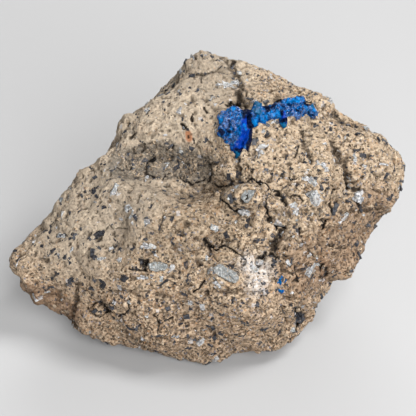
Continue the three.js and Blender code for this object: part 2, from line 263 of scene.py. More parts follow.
def tuff_finish():
    """Gritty tan tuff: ash, crumbs of pumice, stains, pits and chips of dark and pale crystal, with painted
    shade in the pits, nooks, creases and clefts.
    """
    finish = Finish("tuff_tan")
    stirred = finish.warped(amount=0.14, size=0.35)
    torn = finish.warped(amount=0.34, size=0.5)
    lying_grain = finish.drawn_out(turn=(0.4, 0.3, 0.7), pull=(0.55, 1.2, 1.2))
    lying = finish.warped(amount=0.30, size=0.5, place=lying_grain)
    broad = finish.clouds(5.0, detail=3.0).ramp(0.34, 0.66)
    mottle = finish.clouds(1.2, detail=5.0, roughness=0.68).ramp(0.36, 0.62)
    grit = finish.clouds(0.40, detail=4.0, roughness=0.75).ramp(0.40, 0.60)
    rough = finish.clouds(1.9, detail=4.0, roughness=0.6).ramp(0.40, 0.58)
    nooks = finish.clouds(0.36, detail=3.0, roughness=0.7).ramp(0.405, 0.345)

    ash = finish.mark("ash")
    ochre = finish.mark("ochre")
    tan = finish.blend(mottle, DEEP_TAN, MID_TAN)
    tan = finish.blend(grit * 0.45 + broad * 0.12 + mottle * 0.2 + 0.15, tan, PALE_TAN)
    fine = finish.dice(0.27, stirred)
    fine_colour = finish.node("ShaderNodeValToRGB", {"stops": CRUMB_COLOURS}, {0: fine})
    tan = finish.blend(rough * 0.30 + 0.60 - ash * 0.4 + ochre * 0.1, tan, fine_colour)
    coarse = finish.dice(0.60, stirred)
    coarse_colour = finish.node("ShaderNodeValToRGB", {"stops": CRUMB_COLOURS}, {0: coarse})
    tan = finish.blend(rough * 0.24, tan, coarse_colour)
    stain = finish.clouds(1.5, detail=5.0, roughness=0.72).ramp(0.54, 0.66)
    tan = finish.blend(stain * 0.38, tan, STAIN_BROWN)

    tan = finish.blend(ochre * 0.28, tan, OCHRE_TINT, "MULTIPLY")
    # browner tone and painted shade on the lower right side
    tan = finish.blend(finish.mark("toasted") * 0.75, tan, TOAST_AND_SHADE_TINT, "MULTIPLY")
    tan = finish.blend(finish.mark("pale") * (grit * 0.25 + 0.1), tan, PALE_TAN)
    # painted shade on the middle and on the crown
    tan = finish.blend(finish.mark("dull") * 0.75, tan, PAINTED_SHADE_TINT, "MULTIPLY")
    # brown ground with painted shade on the strip at the left foot and round the cave on the right
    tan = finish.blend(finish.mark("umber") * (0.75 - grit * 0.2), tan, UMBER_AND_SHADE)
    tan = finish.blend(ash * 0.45, tan, ASH_GREY)
    # grey ground of the hollow, with painted shade in it
    tan = finish.blend(finish.mark("hollow") * (0.90 - grit * 0.40), tan, HOLLOW_GREY_AND_SHADE)
    tan = finish.blend(finish.mark("chalk") * (grit * 0.6 + 0.3), tan, CHALK)

    pale = finish.chips(1.5, share=0.30, radius=0.20, place=torn)
    tan = finish.blend(pale * (0.45 + grit * 0.3), tan, SPECK_WHITE)
    slate = finish.chips(0.95, share=0.24 - ash * 0.08, radius=0.18, place=lying)
    shown = 1 - ash * 0.75
    tan = finish.blend(slate * (0.9 - grit * 0.3) * shown, tan, SPECK_SLATE)
    # painted shade in the nooks between crumbs
    tan = finish.blend(nooks * (rough * 0.6 + 0.4) * shown, tan, GAP_SHADE_BROWN)
    # small pits, darkened with painted shade
    pits = finish.chips(0.44, share=0.34 + ochre * 0.08 - ash * 0.12, radius=0.30, place=torn)
    tan = finish.blend(pits * (rough * 0.45 + 0.45) * shown, tan, GAP_SHADE_BROWN)
    black = finish.chips(0.85, share=0.32 - ash * 0.14, radius=0.21, place=torn)
    tan = finish.blend(black * (0.95 - ash * 0.45), tan, SPECK_BLACK)
    tan = finish.blend(finish.mark("rust") * 0.75, tan, RUST)
    # painted shade in creases, where the surface lies below its neighbours
    tan = finish.blend(finish.mark("dip") * 0.66, tan, GAP_SHADE_BROWN)
    # painted shade inside clefts, caves and pits, and under the crystals in their seats
    tan = finish.blend(finish.mark("cleft") * 0.97, tan, CLEFT_SHADE_BROWN)

    relief = finish.bump(finish.clouds(0.9, detail=4.0, roughness=0.62), depth=0.34)
    height = fine * 0.7 + grit * 0.6 - nooks - pits - black * 0.4
    relief = finish.bump(height, depth=0.15, under=relief)
    shine = 0.95 - black * 0.45 - slate * 0.3
    return finish.wear(Base_Color=tan, Roughness=shine, Normal=relief, Specular_IOR_Level=0.2)


DEEP_BLUE = (0.0002, 0.022, 0.12)
BRIGHT_BLUE = (0.0005, 0.090, 0.29)
ROYAL_BLUE = (0.0001, 0.020, 0.22)
AZURE_AND_GLINT = (0.001, 0.150, 0.42)
TEAL = (0.003, 0.070, 0.14)
LILAC_DUST = (0.22, 0.26, 0.41)
NAVY_AND_SHADE = (0.0003, 0.0016, 0.014)
HAUYNE_IOR = 1.5
SPARKLE_TILT = 0.9                  # how far the small faces of the blue crystals lean

# Colours of the blue crystals' etched surface, each with the share of its cells that it starts at.
ETCHED_COLOURS = [
    (0.00, (0.0002, 0.002, 0.016)), (0.30, (0.0004, 0.018, 0.10)), (0.56, (0.001, 0.066, 0.23)),
    (0.76, (0.002, 0.135, 0.38)), (0.94, (0.04, 0.14, 0.31)), (0.98, (0.28, 0.32, 0.46)),
]


def hauyne_finish():
    """Blue glassy crystal, with a network of pale dust lines where it is etched."""
    finish = Finish("hauyne_blue")
    stirred = finish.warped(amount=0.16, size=0.3)
    veins = finish.clouds(0.6, detail=5.0, roughness=0.7).ramp(0.38, 0.62)
    fine = finish.dice(0.19, stirred)
    etched = finish.mark("etched")
    blue = finish.blend(veins, DEEP_BLUE, BRIGHT_BLUE)
    etched_colour = finish.node("ShaderNodeValToRGB", {"stops": ETCHED_COLOURS}, {0: fine})
    blue = finish.blend(etched * 0.75, blue, etched_colour)
    blue = finish.blend(finish.mark("royal") * (0.7 + veins * 0.3), blue, ROYAL_BLUE)
    # lighter blue with painted glints on the crystals
    blue = finish.blend(finish.mark("azure") * (0.35 + veins * 0.5), blue, AZURE_AND_GLINT)
    blue = finish.blend(finish.mark("teal") * 0.85, blue, TEAL)
    flecks = finish.clouds(0.18, detail=3.0, roughness=0.75).ramp(0.50, 0.62)
    blue = finish.blend(finish.mark("lilac") * (flecks * 0.5 + 0.1), blue, LILAC_DUST)
    rim = {"feature": "DISTANCE_TO_EDGE"}
    lines = (0.075 - finish.cells(0.62, stirred, "Distance", rim)).ramp(0.0, 0.03)
    thin_lines = (0.07 - finish.cells(0.33, stirred, "Distance", rim)).ramp(0.0, 0.03)
    broken = finish.clouds(0.7, detail=3.0, roughness=0.6).ramp(0.46, 0.58)
    network = (lines * 0.85 + thin_lines * 0.45) * broken
    plain = 1 - finish.mark("teal") * 0.6
    blue = finish.blend(network * (etched * 0.50 + 0.01) * plain, blue, LILAC_DUST)
    # deep blue glass with painted shade in the recesses between the crystals
    blue = finish.blend(finish.mark("navy") * 0.97, blue, NAVY_AND_SHADE)
    chosen = finish.cells(0.42, stirred, "Color")
    tilt = finish.leaning(chosen, SPARKLE_TILT)
    outward = finish.node("ShaderNodeNewGeometry", None, None, "Normal")
    sparkle = finish.vectors("NORMALIZE", {0: finish.vectors("ADD", {0: outward, 1: tilt})})
    height = fine + finish.clouds(0.2, detail=4.0, roughness=0.6) + network
    relief = finish.bump(height, depth=0.05, under=sparkle)
    shine = 0.16 + etched * 0.30
    finish.wear(Base_Color=blue, Roughness=shine, Normal=relief)
    return finish.wear(IOR=HAUYNE_IOR, Specular_IOR_Level=0.05, Transmission_Weight=0.05)


FELDSPAR_GREY = (0.12, 0.130, 0.129)
FELDSPAR_PALE = (0.38, 0.395, 0.385)
MILK_WHITE = (0.40, 0.385, 0.375)
FELDSPAR_GLINT = (0.56, 0.56, 0.58)
FELDSPAR_SHADE = (0.10, 0.108, 0.135)
SANIDINE_IOR = 1.52

# How the cleavage lines of the large feldspars are turned, and how far they are drawn out.
CLEAVAGE_TURN = (math.radians(28), math.radians(14), 0.0)
CLEAVAGE_PULL = (2.4, 2.4, 0.5)


def sanidine_finish(name="sanidine_glassy", streaked=False):
    """Glassy feldspar: grey to milk white, with fine cleavage lines and a little ash in them."""
    finish = Finish(name)
    stirred = finish.warped(amount=0.10, size=0.2)
    streaks = finish.clouds(0.45, detail=5.0, roughness=0.7).ramp(0.35, 0.65)
    if streaked:
        turned = finish.drawn_out(CLEAVAGE_TURN, CLEAVAGE_PULL)
        streaks = finish.clouds(0.7, detail=5.0, roughness=0.72, place=turned).ramp(0.42, 0.62)
    body = finish.blend(streaks, FELDSPAR_GREY, FELDSPAR_PALE)
    body = finish.blend(finish.mark("milk") * 0.9, body, MILK_WHITE)
    fine = finish.dice(0.22, stirred)
    mosaic = 0.12 if streaked else 0.65
    body = finish.blend((fine - 0.72).ramp(0, 0.02) * mosaic, body, FELDSPAR_GLINT)
    body = finish.blend((0.24 - fine).ramp(0, 0.02) * mosaic, body, FELDSPAR_SHADE)
    ash = finish.clouds(0.4, detail=4.0, roughness=0.7).ramp(0.56, 0.64)
    body = finish.blend(ash * 0.75, body, MID_TAN)
    relief = finish.bump(streaks + fine * 0.4, depth=0.12)
    shine = 0.48 + streaks * 0.2 + ash * 0.3
    finish.wear(Base_Color=body, Roughness=shine, Normal=relief)
    return finish.wear(IOR=SANIDINE_IOR, Specular_IOR_Level=0.25, Transmission_Weight=0.1)


AUGITE_BLACK = (0.006, 0.006, 0.008)
AUGITE_GREY = (0.030, 0.032, 0.038)
SLATE_FACE = (0.062, 0.066, 0.078)


def augite_finish():
    """Black augite and hornblende with slate-grey broken faces."""
    finish = Finish("augite_black")
    grain = finish.clouds(0.3, detail=4.0, roughness=0.65).ramp(0.4, 0.66)
    body = finish.blend(grain, AUGITE_BLACK, AUGITE_GREY)
    body = finish.blend(finish.mark("slate") * (grain * 0.6 + 0.1), body, SLATE_FACE)
    ash = finish.clouds(0.35, detail=4.0, roughness=0.7).ramp(0.58, 0.68)
    body = finish.blend(ash * 0.6, body, DEEP_TAN)
    relief = finish.bump(finish.clouds(0.2, detail=3.0, roughness=0.6), depth=0.06)
    finish.wear(Base_Color=body, Roughness=0.3 + grain * 0.3 + ash * 0.3, Normal=relief)
    return finish.wear(Specular_IOR_Level=0.25)


# ---------------------------------------------------------------- mesh tools
SEED = 416
rng = random.Random(SEED)
noise.seed_set(SEED)                # noise_vector differs from run to run without it


def jitter(reach):
    """A random step of up to that much each way."""
    return Vector([rng.uniform(-1, 1) for _ in range(3)]) * reach


def pour(part, whole):
    """Adds a copy of one shape in the making to another."""
    step = bpy.data.meshes.new("step")
    part.to_mesh(step)
    whole.from_mesh(step)
    bpy.data.meshes.remove(step)


def loose(node):
    """A merged copy of a CAD node's mesh, in millimetres."""
    shape = bmesh.new()
    shape.from_mesh(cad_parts[node].data)
    bmesh.ops.remove_doubles(shape, verts=shape.verts, dist=1e-7)
    bmesh.ops.scale(shape, vec=(1 / METRES,) * 3, verts=shape.verts)
    return shape


def as_object(name, shape):
    mesh = bpy.data.meshes.new(name)
    shape.to_mesh(mesh)
    shape.free()
    made = bpy.data.objects.new(name, mesh)
    bpy.context.scene.collection.objects.link(made)
    return made


def skin_of(mesh):
    """What finds the nearest place on a mesh, or the place that a line of sight meets."""
    return BVHTree.FromPolygons([v.co for v in mesh.vertices], [p.vertices[:] for p in mesh.polygons])


def revoxelled(piece, size):
    """The piece with its skin rebuilt from even squares of that size, as a new mesh."""
    skin = piece.modifiers.new("even_skin", "REMESH")
    skin.mode = "VOXEL"
    skin.voxel_size = size
    seen = piece.evaluated_get(bpy.context.evaluated_depsgraph_get())
    mesh = bpy.data.meshes.new_from_object(seen)
    piece.modifiers.clear()
    piece.data = mesh
    return piece


def places(mesh):
    flat = np.empty(len(mesh.vertices) * 3)
    mesh.vertices.foreach_get("co", flat)
    return flat.reshape(-1, 3)


def outwards(mesh):
    flat = np.empty(len(mesh.vertices) * 3)
    mesh.vertex_normals.foreach_get("vector", flat)
    return flat.reshape(-1, 3)


def put(mesh, spots):
    mesh.vertices.foreach_set("co", np.ascontiguousarray(spots).ravel())
    mesh.update()


def mark(mesh, name, shares):
    made = mesh.attributes.new(name, "FLOAT", "POINT")
    made.data.foreach_set("value", np.clip(shares, 0, 1).astype(np.float32))


def finished(piece, finish, slot, *nodes):
    """Turns the piece to metres, dresses it and lets it ride with the rock."""
    piece.data.transform(Matrix.Scale(METRES, 4))
    piece.data.materials.clear()
    piece.data.materials.append(finish)
    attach(piece, ROOT)
    if nodes:
        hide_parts(*nodes)
    return piece


def smooth_step(low, high, values):
    share = np.clip((values - low) / (high - low), 0, 1)
    return share * share * (3 - 2 * share)


def neighbours_mean(mesh, values, rounds):
    """The values averaged over each vertex's neighbours, that many times."""
    pairs = np.empty(len(mesh.edges) * 2, np.int64)
    mesh.edges.foreach_get("vertices", pairs)
    pairs = pairs.reshape(-1, 2)
    count = np.bincount(pairs.ravel(), minlength=len(values))[:, None]
    out = np.array(values, float).reshape(len(values), -1)
    for _ in range(rounds):
        total = out.copy()
        for column in range(out.shape[1]):
            total[:, column] += np.bincount(pairs[:, 0], out[pairs[:, 1], column], len(values))
            total[:, column] += np.bincount(pairs[:, 1], out[pairs[:, 0], column], len(values))
        out = total / (count + 1)
    return out


# ---------------------------------------------------------------- the rock's forms
ROCK_SKIN = 0.49                    # size of the squares of the rock's skin
FACING = 0.05                       # squares turned this far to the camera are halved
THIN_CLEFT = 0.3                    # squares round a cleft of a smaller half width are halved again
THIN_MARGIN = 0.14                  # and this far beyond it
SQUEEZE = 0.55                      # how far depth along the sight line is squeezed in widths of features
RESTING = 0.6                       # relief fades out this near the base
PATH_STEP = 2.5                     # pixels between the points of a path in the camera's view
HOLE_START = 0.36                   # noise above this makes a hole
PRICK_START = 0.40                  # and above this a prick
SLIT = 0.05                         # noise this near nought opens a slit between layers
LAYERS_END = 14                     # height where the layers at the lump's foot have faded out
LAYERS_FADE = 5                     # height over which they fade
OCHRE_FULL = 3                      # height up to which the foot is stained in full
OCHRE_END = 19                      # and where the stain ends

# Clefts, caves and pits that face the camera: (right, down) places in the camera's view along each one,
# then half width, depth (both in millimetres) and how much painted shade is put inside.
CLEFTS = {
    "groove_down_the_crown": ([(222, 58), (231, 68), (238, 76), (240, 88), (240, 100)], 0.6, 0.7, 0.35),
    "pit_in_the_crown": ([(231, 66), (234, 63)], 0.4, 0.8, 0.9),
    "under_the_crown_lump": ([(196, 73), (204, 74), (209, 73), (217, 71), (222, 66)], 0.2, 0.5, 0.3),
    "brown_line_in_the_crown": ([(190, 73), (201, 75), (201, 80)], 0.3, 0.4, 0.3),
    "hole_above_the_crystal": ([(229, 105), (233, 103), (238, 105)], 0.5, 1.5, 1.0),
    "shade_above_the_crystal": ([(237, 94), (240, 100), (244, 106)], 0.6, 0.8, 0.45),
    "gap_over_the_seam": ([(304, 101), (309, 100), (314, 102)], 0.36, 1.2, 1.0),
    "gap_left_of_the_seam_top": ([(275, 101), (280, 99)], 0.3, 0.9, 1.0),
    "hole_under_the_crystal": ([(234, 157), (238, 160)], 0.35, 0.9, 1.0),
    "groove_in_the_dome": ([(303, 131), (304, 140), (306, 148), (310, 156), (313, 163)], 0.5, 0.75, 0.4),
    "core_of_that_groove": ([(303, 133), (304, 139)], 0.2, 0.4, 0.8),
    "end_of_that_groove": ([(308, 152), (310, 158), (312, 162)], 0.34, 0.5, 0.75),
    "streak_in_the_dome": ([(300, 144), (298, 151), (295, 157)], 0.16, 0.4, 0.9),
    "upper_right_groove": ([(334, 140), (336, 152)], 0.6, 0.7, 0.5),
    "right_groove": ([(338, 150), (342, 162), (345, 174), (346, 184)], 0.8, 1.1, 0.5),
    "foot_of_the_right_groove": ([(343, 180), (347, 184), (351, 188), (359, 190)], 0.5, 0.9, 0.8),
    "side_of_the_right_groove": ([(341, 184), (343, 195), (344, 210)], 0.35, 0.4, 0.2),
    "crack_under_the_ridge": ([(335, 189), (332, 194), (330, 201), (332, 208), (333, 212)], 0.26, 0.8, 0.8),
    "lobe_pit": ([(355, 200), (358, 204), (361, 207)], 0.32, 0.7, 0.8),
    "under_the_lobe": ([(337, 213), (348, 212), (362, 211), (380, 211)], 0.45, 0.6, 0.35),
    "notch_in_the_skyline": ([(340, 110), (342, 116), (343, 122)], 0.9, 1.2, 0.4),
    "crack_over_the_block": ([(245, 178), (252, 175), (259, 178), (265, 184), (270, 189), (276, 196)],
                             0.22, 0.9, 1.0),
    "crack_beside_the_block": ([(262, 178), (267, 181), (272, 186), (279, 192), (285, 199)],
                               0.26, 0.9, 1.0),
    "spot_over_the_block": ([(251, 169), (253, 169)], 0.3, 0.7, 0.95),
    "crack_left_of_the_block": ([(222, 200), (228, 205), (232, 210), (236, 213), (243, 210), (247, 211)],
                                0.17, 0.8, 1.0),
    "left_end_of_the_block": ([(220, 190), (219, 196), (222, 200)], 0.2, 0.6, 0.7),
    "crack_right_of_the_block": ([(268, 190), (267, 198), (267, 206), (268, 213), (270, 219)],
                                 0.22, 1.0, 1.0),
    "pit_under_that_crack": ([(268, 220), (271, 218), (271, 222)], 0.34, 1.4, 1.0),
    "slot_under_the_middle_block": ([(274, 224), (279, 225), (285, 228)], 0.26, 0.9, 1.0),
    "end_of_the_slot": ([(274, 224), (274, 229)], 0.15, 0.6, 0.9),
    "arc_over_the_middle_block": ([(290, 198), (293, 195), (298, 196), (303, 201)], 0.18, 0.6, 0.8),
    "pit_by_the_arc": ([(283, 201), (286, 205)], 0.30, 0.8, 0.95),
    "under_the_small_nodule": ([(289, 177), (293, 180), (298, 177)], 0.15, 0.5, 0.9),
    "curved_groove": ([(301, 226), (300, 231), (302, 237), (304, 242)], 0.26, 0.8, 0.9),
    "right_crack": ([(324, 230), (325, 225), (327, 221)], 0.2, 0.7, 1.0),
    "smear_by_the_right_crack": ([(322, 220), (327, 220)], 0.3, 0.4, 0.6),
    "cave": ([(204, 239), (207, 244), (210, 249)], 0.46, 1.2, 1.0),
    "tail_of_the_cave": ([(210, 247), (213, 246), (217, 249), (221, 247), (226, 245)], 0.25, 0.8, 1.0),
    "end_of_the_tail": ([(226, 246), (232, 249), (237, 252), (243, 255)], 0.13, 0.6, 0.95),
    "left_hole": ([(262, 255), (264, 257), (266, 252)], 0.34, 1.0, 1.0),
    "right_hole": ([(271, 255), (274, 256), (277, 258)], 0.36, 1.0, 1.0),
    "valley": ([(280, 229), (276, 236), (272, 242), (271, 249)], 0.6, 0.8, 0.65),
    "teardrop": ([(283, 255), (286, 256)], 0.2, 0.6, 0.8),
    "low_right_pits": ([(310, 250), (316, 257), (314, 260)], 0.26, 0.7, 0.8),
    "ridge_line": ([(328, 244), (336, 248), (346, 249)], 0.25, 0.5, 0.6),
    "upright_crack": ([(295, 266), (296, 274), (298, 282)], 0.16, 0.6, 0.8),
    "left_upright_crack": ([(163, 215), (161, 224), (159, 233)], 0.14, 0.4, 0.6),
    "arc_on_the_flank": ([(98, 236), (105, 231), (109, 225), (113, 229), (119, 228), (126, 229)],
                         0.12, 0.3, 0.3),
    "left_arc_on_the_belly": ([(204, 280), (200, 287), (194, 292)], 0.16, 0.5, 1.0),
    "right_arc_on_the_belly": ([(241, 285), (237, 289), (231, 291)], 0.13, 0.4, 0.85),
    "hole_by_the_lath": ([(140, 260), (144, 264), (148, 260)], 0.3, 0.8, 1.0),
    "under_that_hole": ([(143, 263), (144, 270)], 0.3, 0.6, 1.0),
    "line_by_the_lath": ([(129, 269), (138, 270), (146, 271)], 0.2, 0.4, 0.85),
    "right_cave": ([(322, 266), (327, 270), (328, 277)], 0.6, 1.2, 0.9),
    "foot_of_the_right_cave": ([(321, 276), (325, 281)], 0.3, 0.8, 0.7),
    "ledge_line": ([(196, 293), (215, 292), (238, 291), (262, 294)], 0.5, 0.45, 0.15),
    "left_step": ([(75, 284), (76, 300), (77, 312), (79, 326)], 0.5, 0.9, 0.35),
    "over_the_left_pit": ([(90, 308), (94, 305), (101, 305)], 0.22, 0.7, 0.8),
    "right_of_the_left_knob": ([(104, 307), (106, 312), (104, 316)], 0.36, 1.1, 1.0),
    "under_the_left_knob": ([(90, 313), (95, 317), (101, 318)], 0.18, 0.6, 0.5),
    "arc_by_the_red_lump": ([(131, 298), (131, 307), (124, 315), (118, 317)], 0.17, 0.6, 0.9),
    "fold_in_the_front": ([(154, 316), (157, 318), (158, 326), (157, 333)], 0.2, 0.6, 0.8),
    "streak_by_the_fold": ([(164, 321), (172, 318)], 0.18, 0.5, 0.9),
    "hole_in_the_corner": ([(297, 311), (299, 316), (298, 323)], 0.8, 1.6, 1.0),
    "corner_crack": ([(301, 322), (297, 331), (290, 340)], 0.24, 0.8, 0.8),
    "under_the_left_nodule": ([(149, 172), (155, 176), (163, 177), (169, 172)], 0.16, 0.5, 1.0),
    "side_of_the_left_nodule": ([(148, 160), (147, 171)], 0.3, 0.5, 0.7),
    "under_the_right_nodule": ([(178, 177), (184, 181), (193, 183), (203, 180)], 0.17, 0.5, 0.95),
    "line_in_the_hollow": ([(186, 166), (190, 170), (196, 171)], 0.14, 0.4, 0.7),
    "gap_by_the_rim_lump": ([(208, 168), (211, 175), (208, 181)], 0.4, 0.8, 0.8),
    "under_the_rim_lump": ([(212, 183), (216, 186), (224, 185), (232, 180)], 0.15, 0.5, 0.85),
    "left_wall_of_the_hollow": ([(117, 166), (122, 168), (132, 165)], 0.25, 0.45, 0.5),
    "upper_wall_of_the_hollow": ([(128, 152), (139, 146), (150, 143), (162, 147)], 0.3, 0.35, 0.15),
    "slit_in_the_hollow": ([(170, 151), (173, 146)], 0.24, 0.6, 0.9),
    "hole_at_the_rim": ([(131, 137), (135, 133)], 0.3, 0.7, 0.7),
    "hole_by_the_rust": ([(182, 125), (184, 128)], 0.36, 0.8, 1.0),
    "core_of_the_rust": ([(188, 136), (188.5, 138)], 0.14, 0.3, 0.6),
    "hole_below_the_rust": ([(193, 139), (194, 143)], 0.2, 0.5, 0.7),
    "upright_hole": ([(193, 113), (192, 121)], 0.2, 0.6, 0.9),
    "green_hole": ([(204, 107), (206, 112)], 0.22, 0.5, 0.7),
    "hollow_pit": ([(150, 160), (154, 158)], 0.3, 0.7, 0.8),
}

# Lumps that face the camera: places, half width, rise, or sink where it is below 0.
LUMPS = {
    "crown": ([(197, 60), (208, 58), (214, 64)], 2.0, 0.35),
    "left_nodule": ([(156, 168), (164, 169)], 1.1, 0.45),
    "right_nodule": ([(184, 175), (200, 175)], 1.1, 0.45),
    "hollow_floor": ([(128, 166), (150, 164), (175, 165), (200, 168)], 1.9, -0.75),
    "rim_nodules": ([(139, 131), (150, 129)], 0.9, 0.3),
    "rim_lump": ([(217, 174), (227, 173)], 1.3, 0.7),
    "block_with_a_crystal": ([(234, 196), (246, 194), (258, 194)], 1.9, 0.7),
    "middle_block": ([(278, 209), (291, 211)], 1.5, 0.75),
    "small_nodule": ([(294, 191), (298, 190)], 0.9, 0.4),
    "lower_left_block": ([(261, 221), (262, 233)], 1.3, 0.6),
    "pale_block": ([(291, 235), (288, 246)], 1.5, 0.75),
    "grey_block": ([(312, 233), (314, 241)], 0.9, 0.45),
    "pink_block": ([(324, 209), (326, 214)], 0.9, 0.5),
    "belly_lump": ([(190, 236), (196, 244)], 2.2, 0.55),
    "ridge_by_the_groove": ([(339, 168), (341, 182), (340, 200)], 0.7, 0.6),
    "dome_ridge": ([(318, 140), (324, 158)], 1.6, 0.5),
    "lobe_nodule": ([(358, 196), (362, 199)], 1.0, 0.6),
    "lobe_foot": ([(352, 204), (354, 206)], 0.7, 0.45),
    "lobe_edge": ([(384, 190), (386, 200)], 1.2, 0.5),
    "upper_lobe": ([(362, 140), (376, 150), (384, 165)], 2.4, 0.5),
    "red_lump": ([(115, 303), (126, 302)], 1.4, 0.8),
    "left_knob": ([(96, 311), (99, 313)], 0.8, 0.3),
    "over_the_knob": ([(97, 297), (106, 298)], 0.8, 0.4),
    "knob_on_the_outline": ([(373, 242)], 0.4, 0.6),
    "corner_ridge": ([(289, 300), (292, 318), (288, 336)], 0.8, 0.45),
    "corner_lump": ([(307, 302), (311, 316)], 0.9, 0.6),
    "flank_lump": ([(88, 250), (96, 268)], 1.8, 0.4),
    "strip_behind_the_step": ([(55, 306), (68, 310)], 1.1, -0.4),
    "knob_over_the_seam": ([(320, 93), (331, 103)], 1.3, 0.35),
}

# Swells and dips of the rock's own edges: places, half width, rise, or sink where it is below 0.
EDGES = {
    "foot_of_the_left_end": ([(30, 289), (45, 298), (62, 309), (76, 317)], 2.0, 1.25),
    "foot_of_the_step": ([(84, 322), (95, 330), (108, 338)], 1.6, 1.2),
    "left_tip": ([(12, 252), (14, 268), (24, 281)], 1.6, 0.5),
    "skyline_left_of_the_crown": ([(163, 84), (176, 70)], 1.6, -0.4),
    "skyline_over_the_hollow": ([(124, 116), (150, 97)], 1.8, -0.4),
    "skyline_by_the_hollow": ([(93, 161), (106, 148), (113, 137)], 1.8, -0.6),
    "skyline_on_the_left": ([(55, 203), (78, 172)], 1.8, -0.25),
    "skyline_at_the_left_end": ([(19, 243), (30, 228), (46, 213)], 1.8, -0.6),
    "skyline_over_the_seam": ([(256, 62), (275, 69), (290, 78), (306, 86)], 1.9, -0.6),
    "skyline_by_the_notch": ([(346, 109), (356, 116), (374, 126)], 1.6, -0.75),
    "skyline_on_the_right": ([(380, 131), (397, 148)], 1.6, -0.35),
    "right_rim": ([(393, 194), (389, 212)], 1.4, 0.45),
    "below_the_right_rim": ([(385, 219), (371, 241)], 1.4, -0.4),
    "low_right_bulge": ([(362, 252), (348, 274)], 1.6, 0.65),
    "low_right_skyline": ([(335, 286), (320, 304)], 1.5, -0.55),
    "corner_skyline": ([(301, 334), (291, 347)], 1.4, -0.55),
    "edge_right_of_the_crown": ([(228, 58), (245, 59), (262, 65)], 1.2, 0.35),
    "top_of_the_crown": ([(197, 50), (206, 48), (216, 52)], 1.2, -0.2),
    "first_knob_down_the_left": ([(178, 70), (184, 64)], 0.8, 0.35),
    "first_dip_down_the_left": ([(164, 82), (172, 75)], 0.8, -0.3),
    "second_knob_down_the_left": ([(151, 94), (158, 87)], 0.8, 0.35),
    "second_dip_down_the_left": ([(134, 110), (146, 100)], 1.0, -0.35),
    "shoulder_over_the_hollow": ([(117, 129), (121, 121), (128, 116)], 1.1, 0.5),
    "dip_by_the_shoulder": ([(107, 153), (112, 142)], 0.9, -0.5),
    "knob_by_the_hollow": ([(80, 171), (90, 165), (99, 159)], 0.9, 0.55),
    "knob_on_the_left_edge": ([(43, 220), (55, 206)], 0.9, 0.45),
    "dip_on_the_left_edge": ([(28, 237), (38, 226)], 0.9, -0.4),
    "under_the_left_tip": ([(17, 282), (22, 290), (29, 297)], 0.9, -0.7),
    "left_base": ([(36, 302), (45, 308), (54, 313)], 0.9, 0.55),
    "dip_in_the_left_base": ([(70, 320), (75, 326)], 0.7, -0.5),
    "foot_right_of_the_step": ([(78, 333), (92, 337)], 0.7, 0.4),
    "front_base": ([(118, 344), (135, 348), (152, 352), (174, 359)], 1.0, 0.55),
    "first_notch_in_the_base": ([(200, 365), (213, 366)], 0.9, -0.55),
    "second_notch_in_the_base": ([(232, 357), (245, 353), (258, 354)], 0.9, -0.4),
    "knob_at_the_corner": ([(300, 333), (310, 323)], 0.8, 0.45),
    "knob_over_the_corner": ([(315, 312), (319, 303)], 0.8, 0.5),
    "knob_on_the_low_right": ([(345, 280), (352, 273), (358, 262)], 0.9, 0.75),
    "dip_over_that_knob": ([(368, 237), (378, 224), (386, 217)], 0.9, -0.45),
    "knob_on_the_right": ([(396, 198), (393, 212)], 0.9, 0.5),
    "knob_over_the_lobe": ([(371, 128), (379, 134), (386, 139)], 0.9, 0.5),
    "dip_by_the_notch": ([(343, 110), (354, 117), (366, 125)], 0.9, -0.6),
    "edge_over_the_seam": ([(309, 89), (322, 92), (333, 100)], 0.9, 0.5),
    "dip_over_the_seam": ([(278, 72), (290, 79)], 0.9, -0.35),
}
MOAT = 0.25                         # depth of the crease round a lump, as a share of its rise
MOAT_WIDTH = 0.25

# Where the blue shows between the lips of the rock, as places in the camera's view.
MAIN_OUTLINE = [
    (219.5, 113), (222, 110), (225, 109), (230, 107.5), (234, 107.3), (238, 108), (241, 109.5), (244, 109),
    (247, 109), (250, 109.5), (253, 111), (254.5, 118), (254, 123), (254.5, 127), (252.5, 129.5),
    (252, 132), (251.5, 137), (250, 142), (247, 145.5), (244.5, 148), (242, 150.5), (239.5, 152.5),
    (238.5, 156), (236.8, 156), (236, 152), (234, 150.5), (231, 148), (229, 144), (226, 141), (223, 138.5),
    (219.5, 136.5), (217.8, 133), (218.8, 129), (220.5, 126), (219.5, 121), (219, 117),
]
SEAM_OUTLINE = [
    (251, 108), (254, 104), (255, 101), (258, 101.5), (261, 104), (264, 105), (266, 103.5), (272, 104.5),
    (275, 103), (278, 101), (281, 99.8), (287, 98.8), (292, 98), (298, 97), (303.5, 96.5), (304.5, 98),
    (305.5, 102), (309, 103.5), (313, 103.5), (314.5, 106), (316, 109), (317, 110.5), (315, 112),
    (312.5, 113), (315.5, 116), (314, 118), (311, 116), (308.5, 114), (306.5, 112), (303, 113), (300, 115),
    (296, 115.5), (292, 115.3), (288, 116), (287.5, 119), (287.5, 124), (286, 127), (283, 127.5),
    (280.5, 125.5), (279.8, 121), (278.5, 118.5), (275, 117.5), (271, 118.5), (267, 119.5), (262, 121),
    (259, 121), (257, 122.5), (258, 124.5), (256, 126.5), (252.5, 125), (251.5, 120), (251.5, 113),
]
NESTS = {"hauyne_main_crystal": MAIN_OUTLINE, "hauyne_seam": SEAM_OUTLINE}
NEST_DROP = 0.95                    # how far the rock lies below the blue inside its outline
LIP_DROP = 0.10                     # and how far below the blue's height its lips lie outside
NEST_HIDE = 1.9                     # how far the blue is pushed into the rock outside its outline
INWARD = (SIGHT + Vector((0, 0, -1))).normalized()

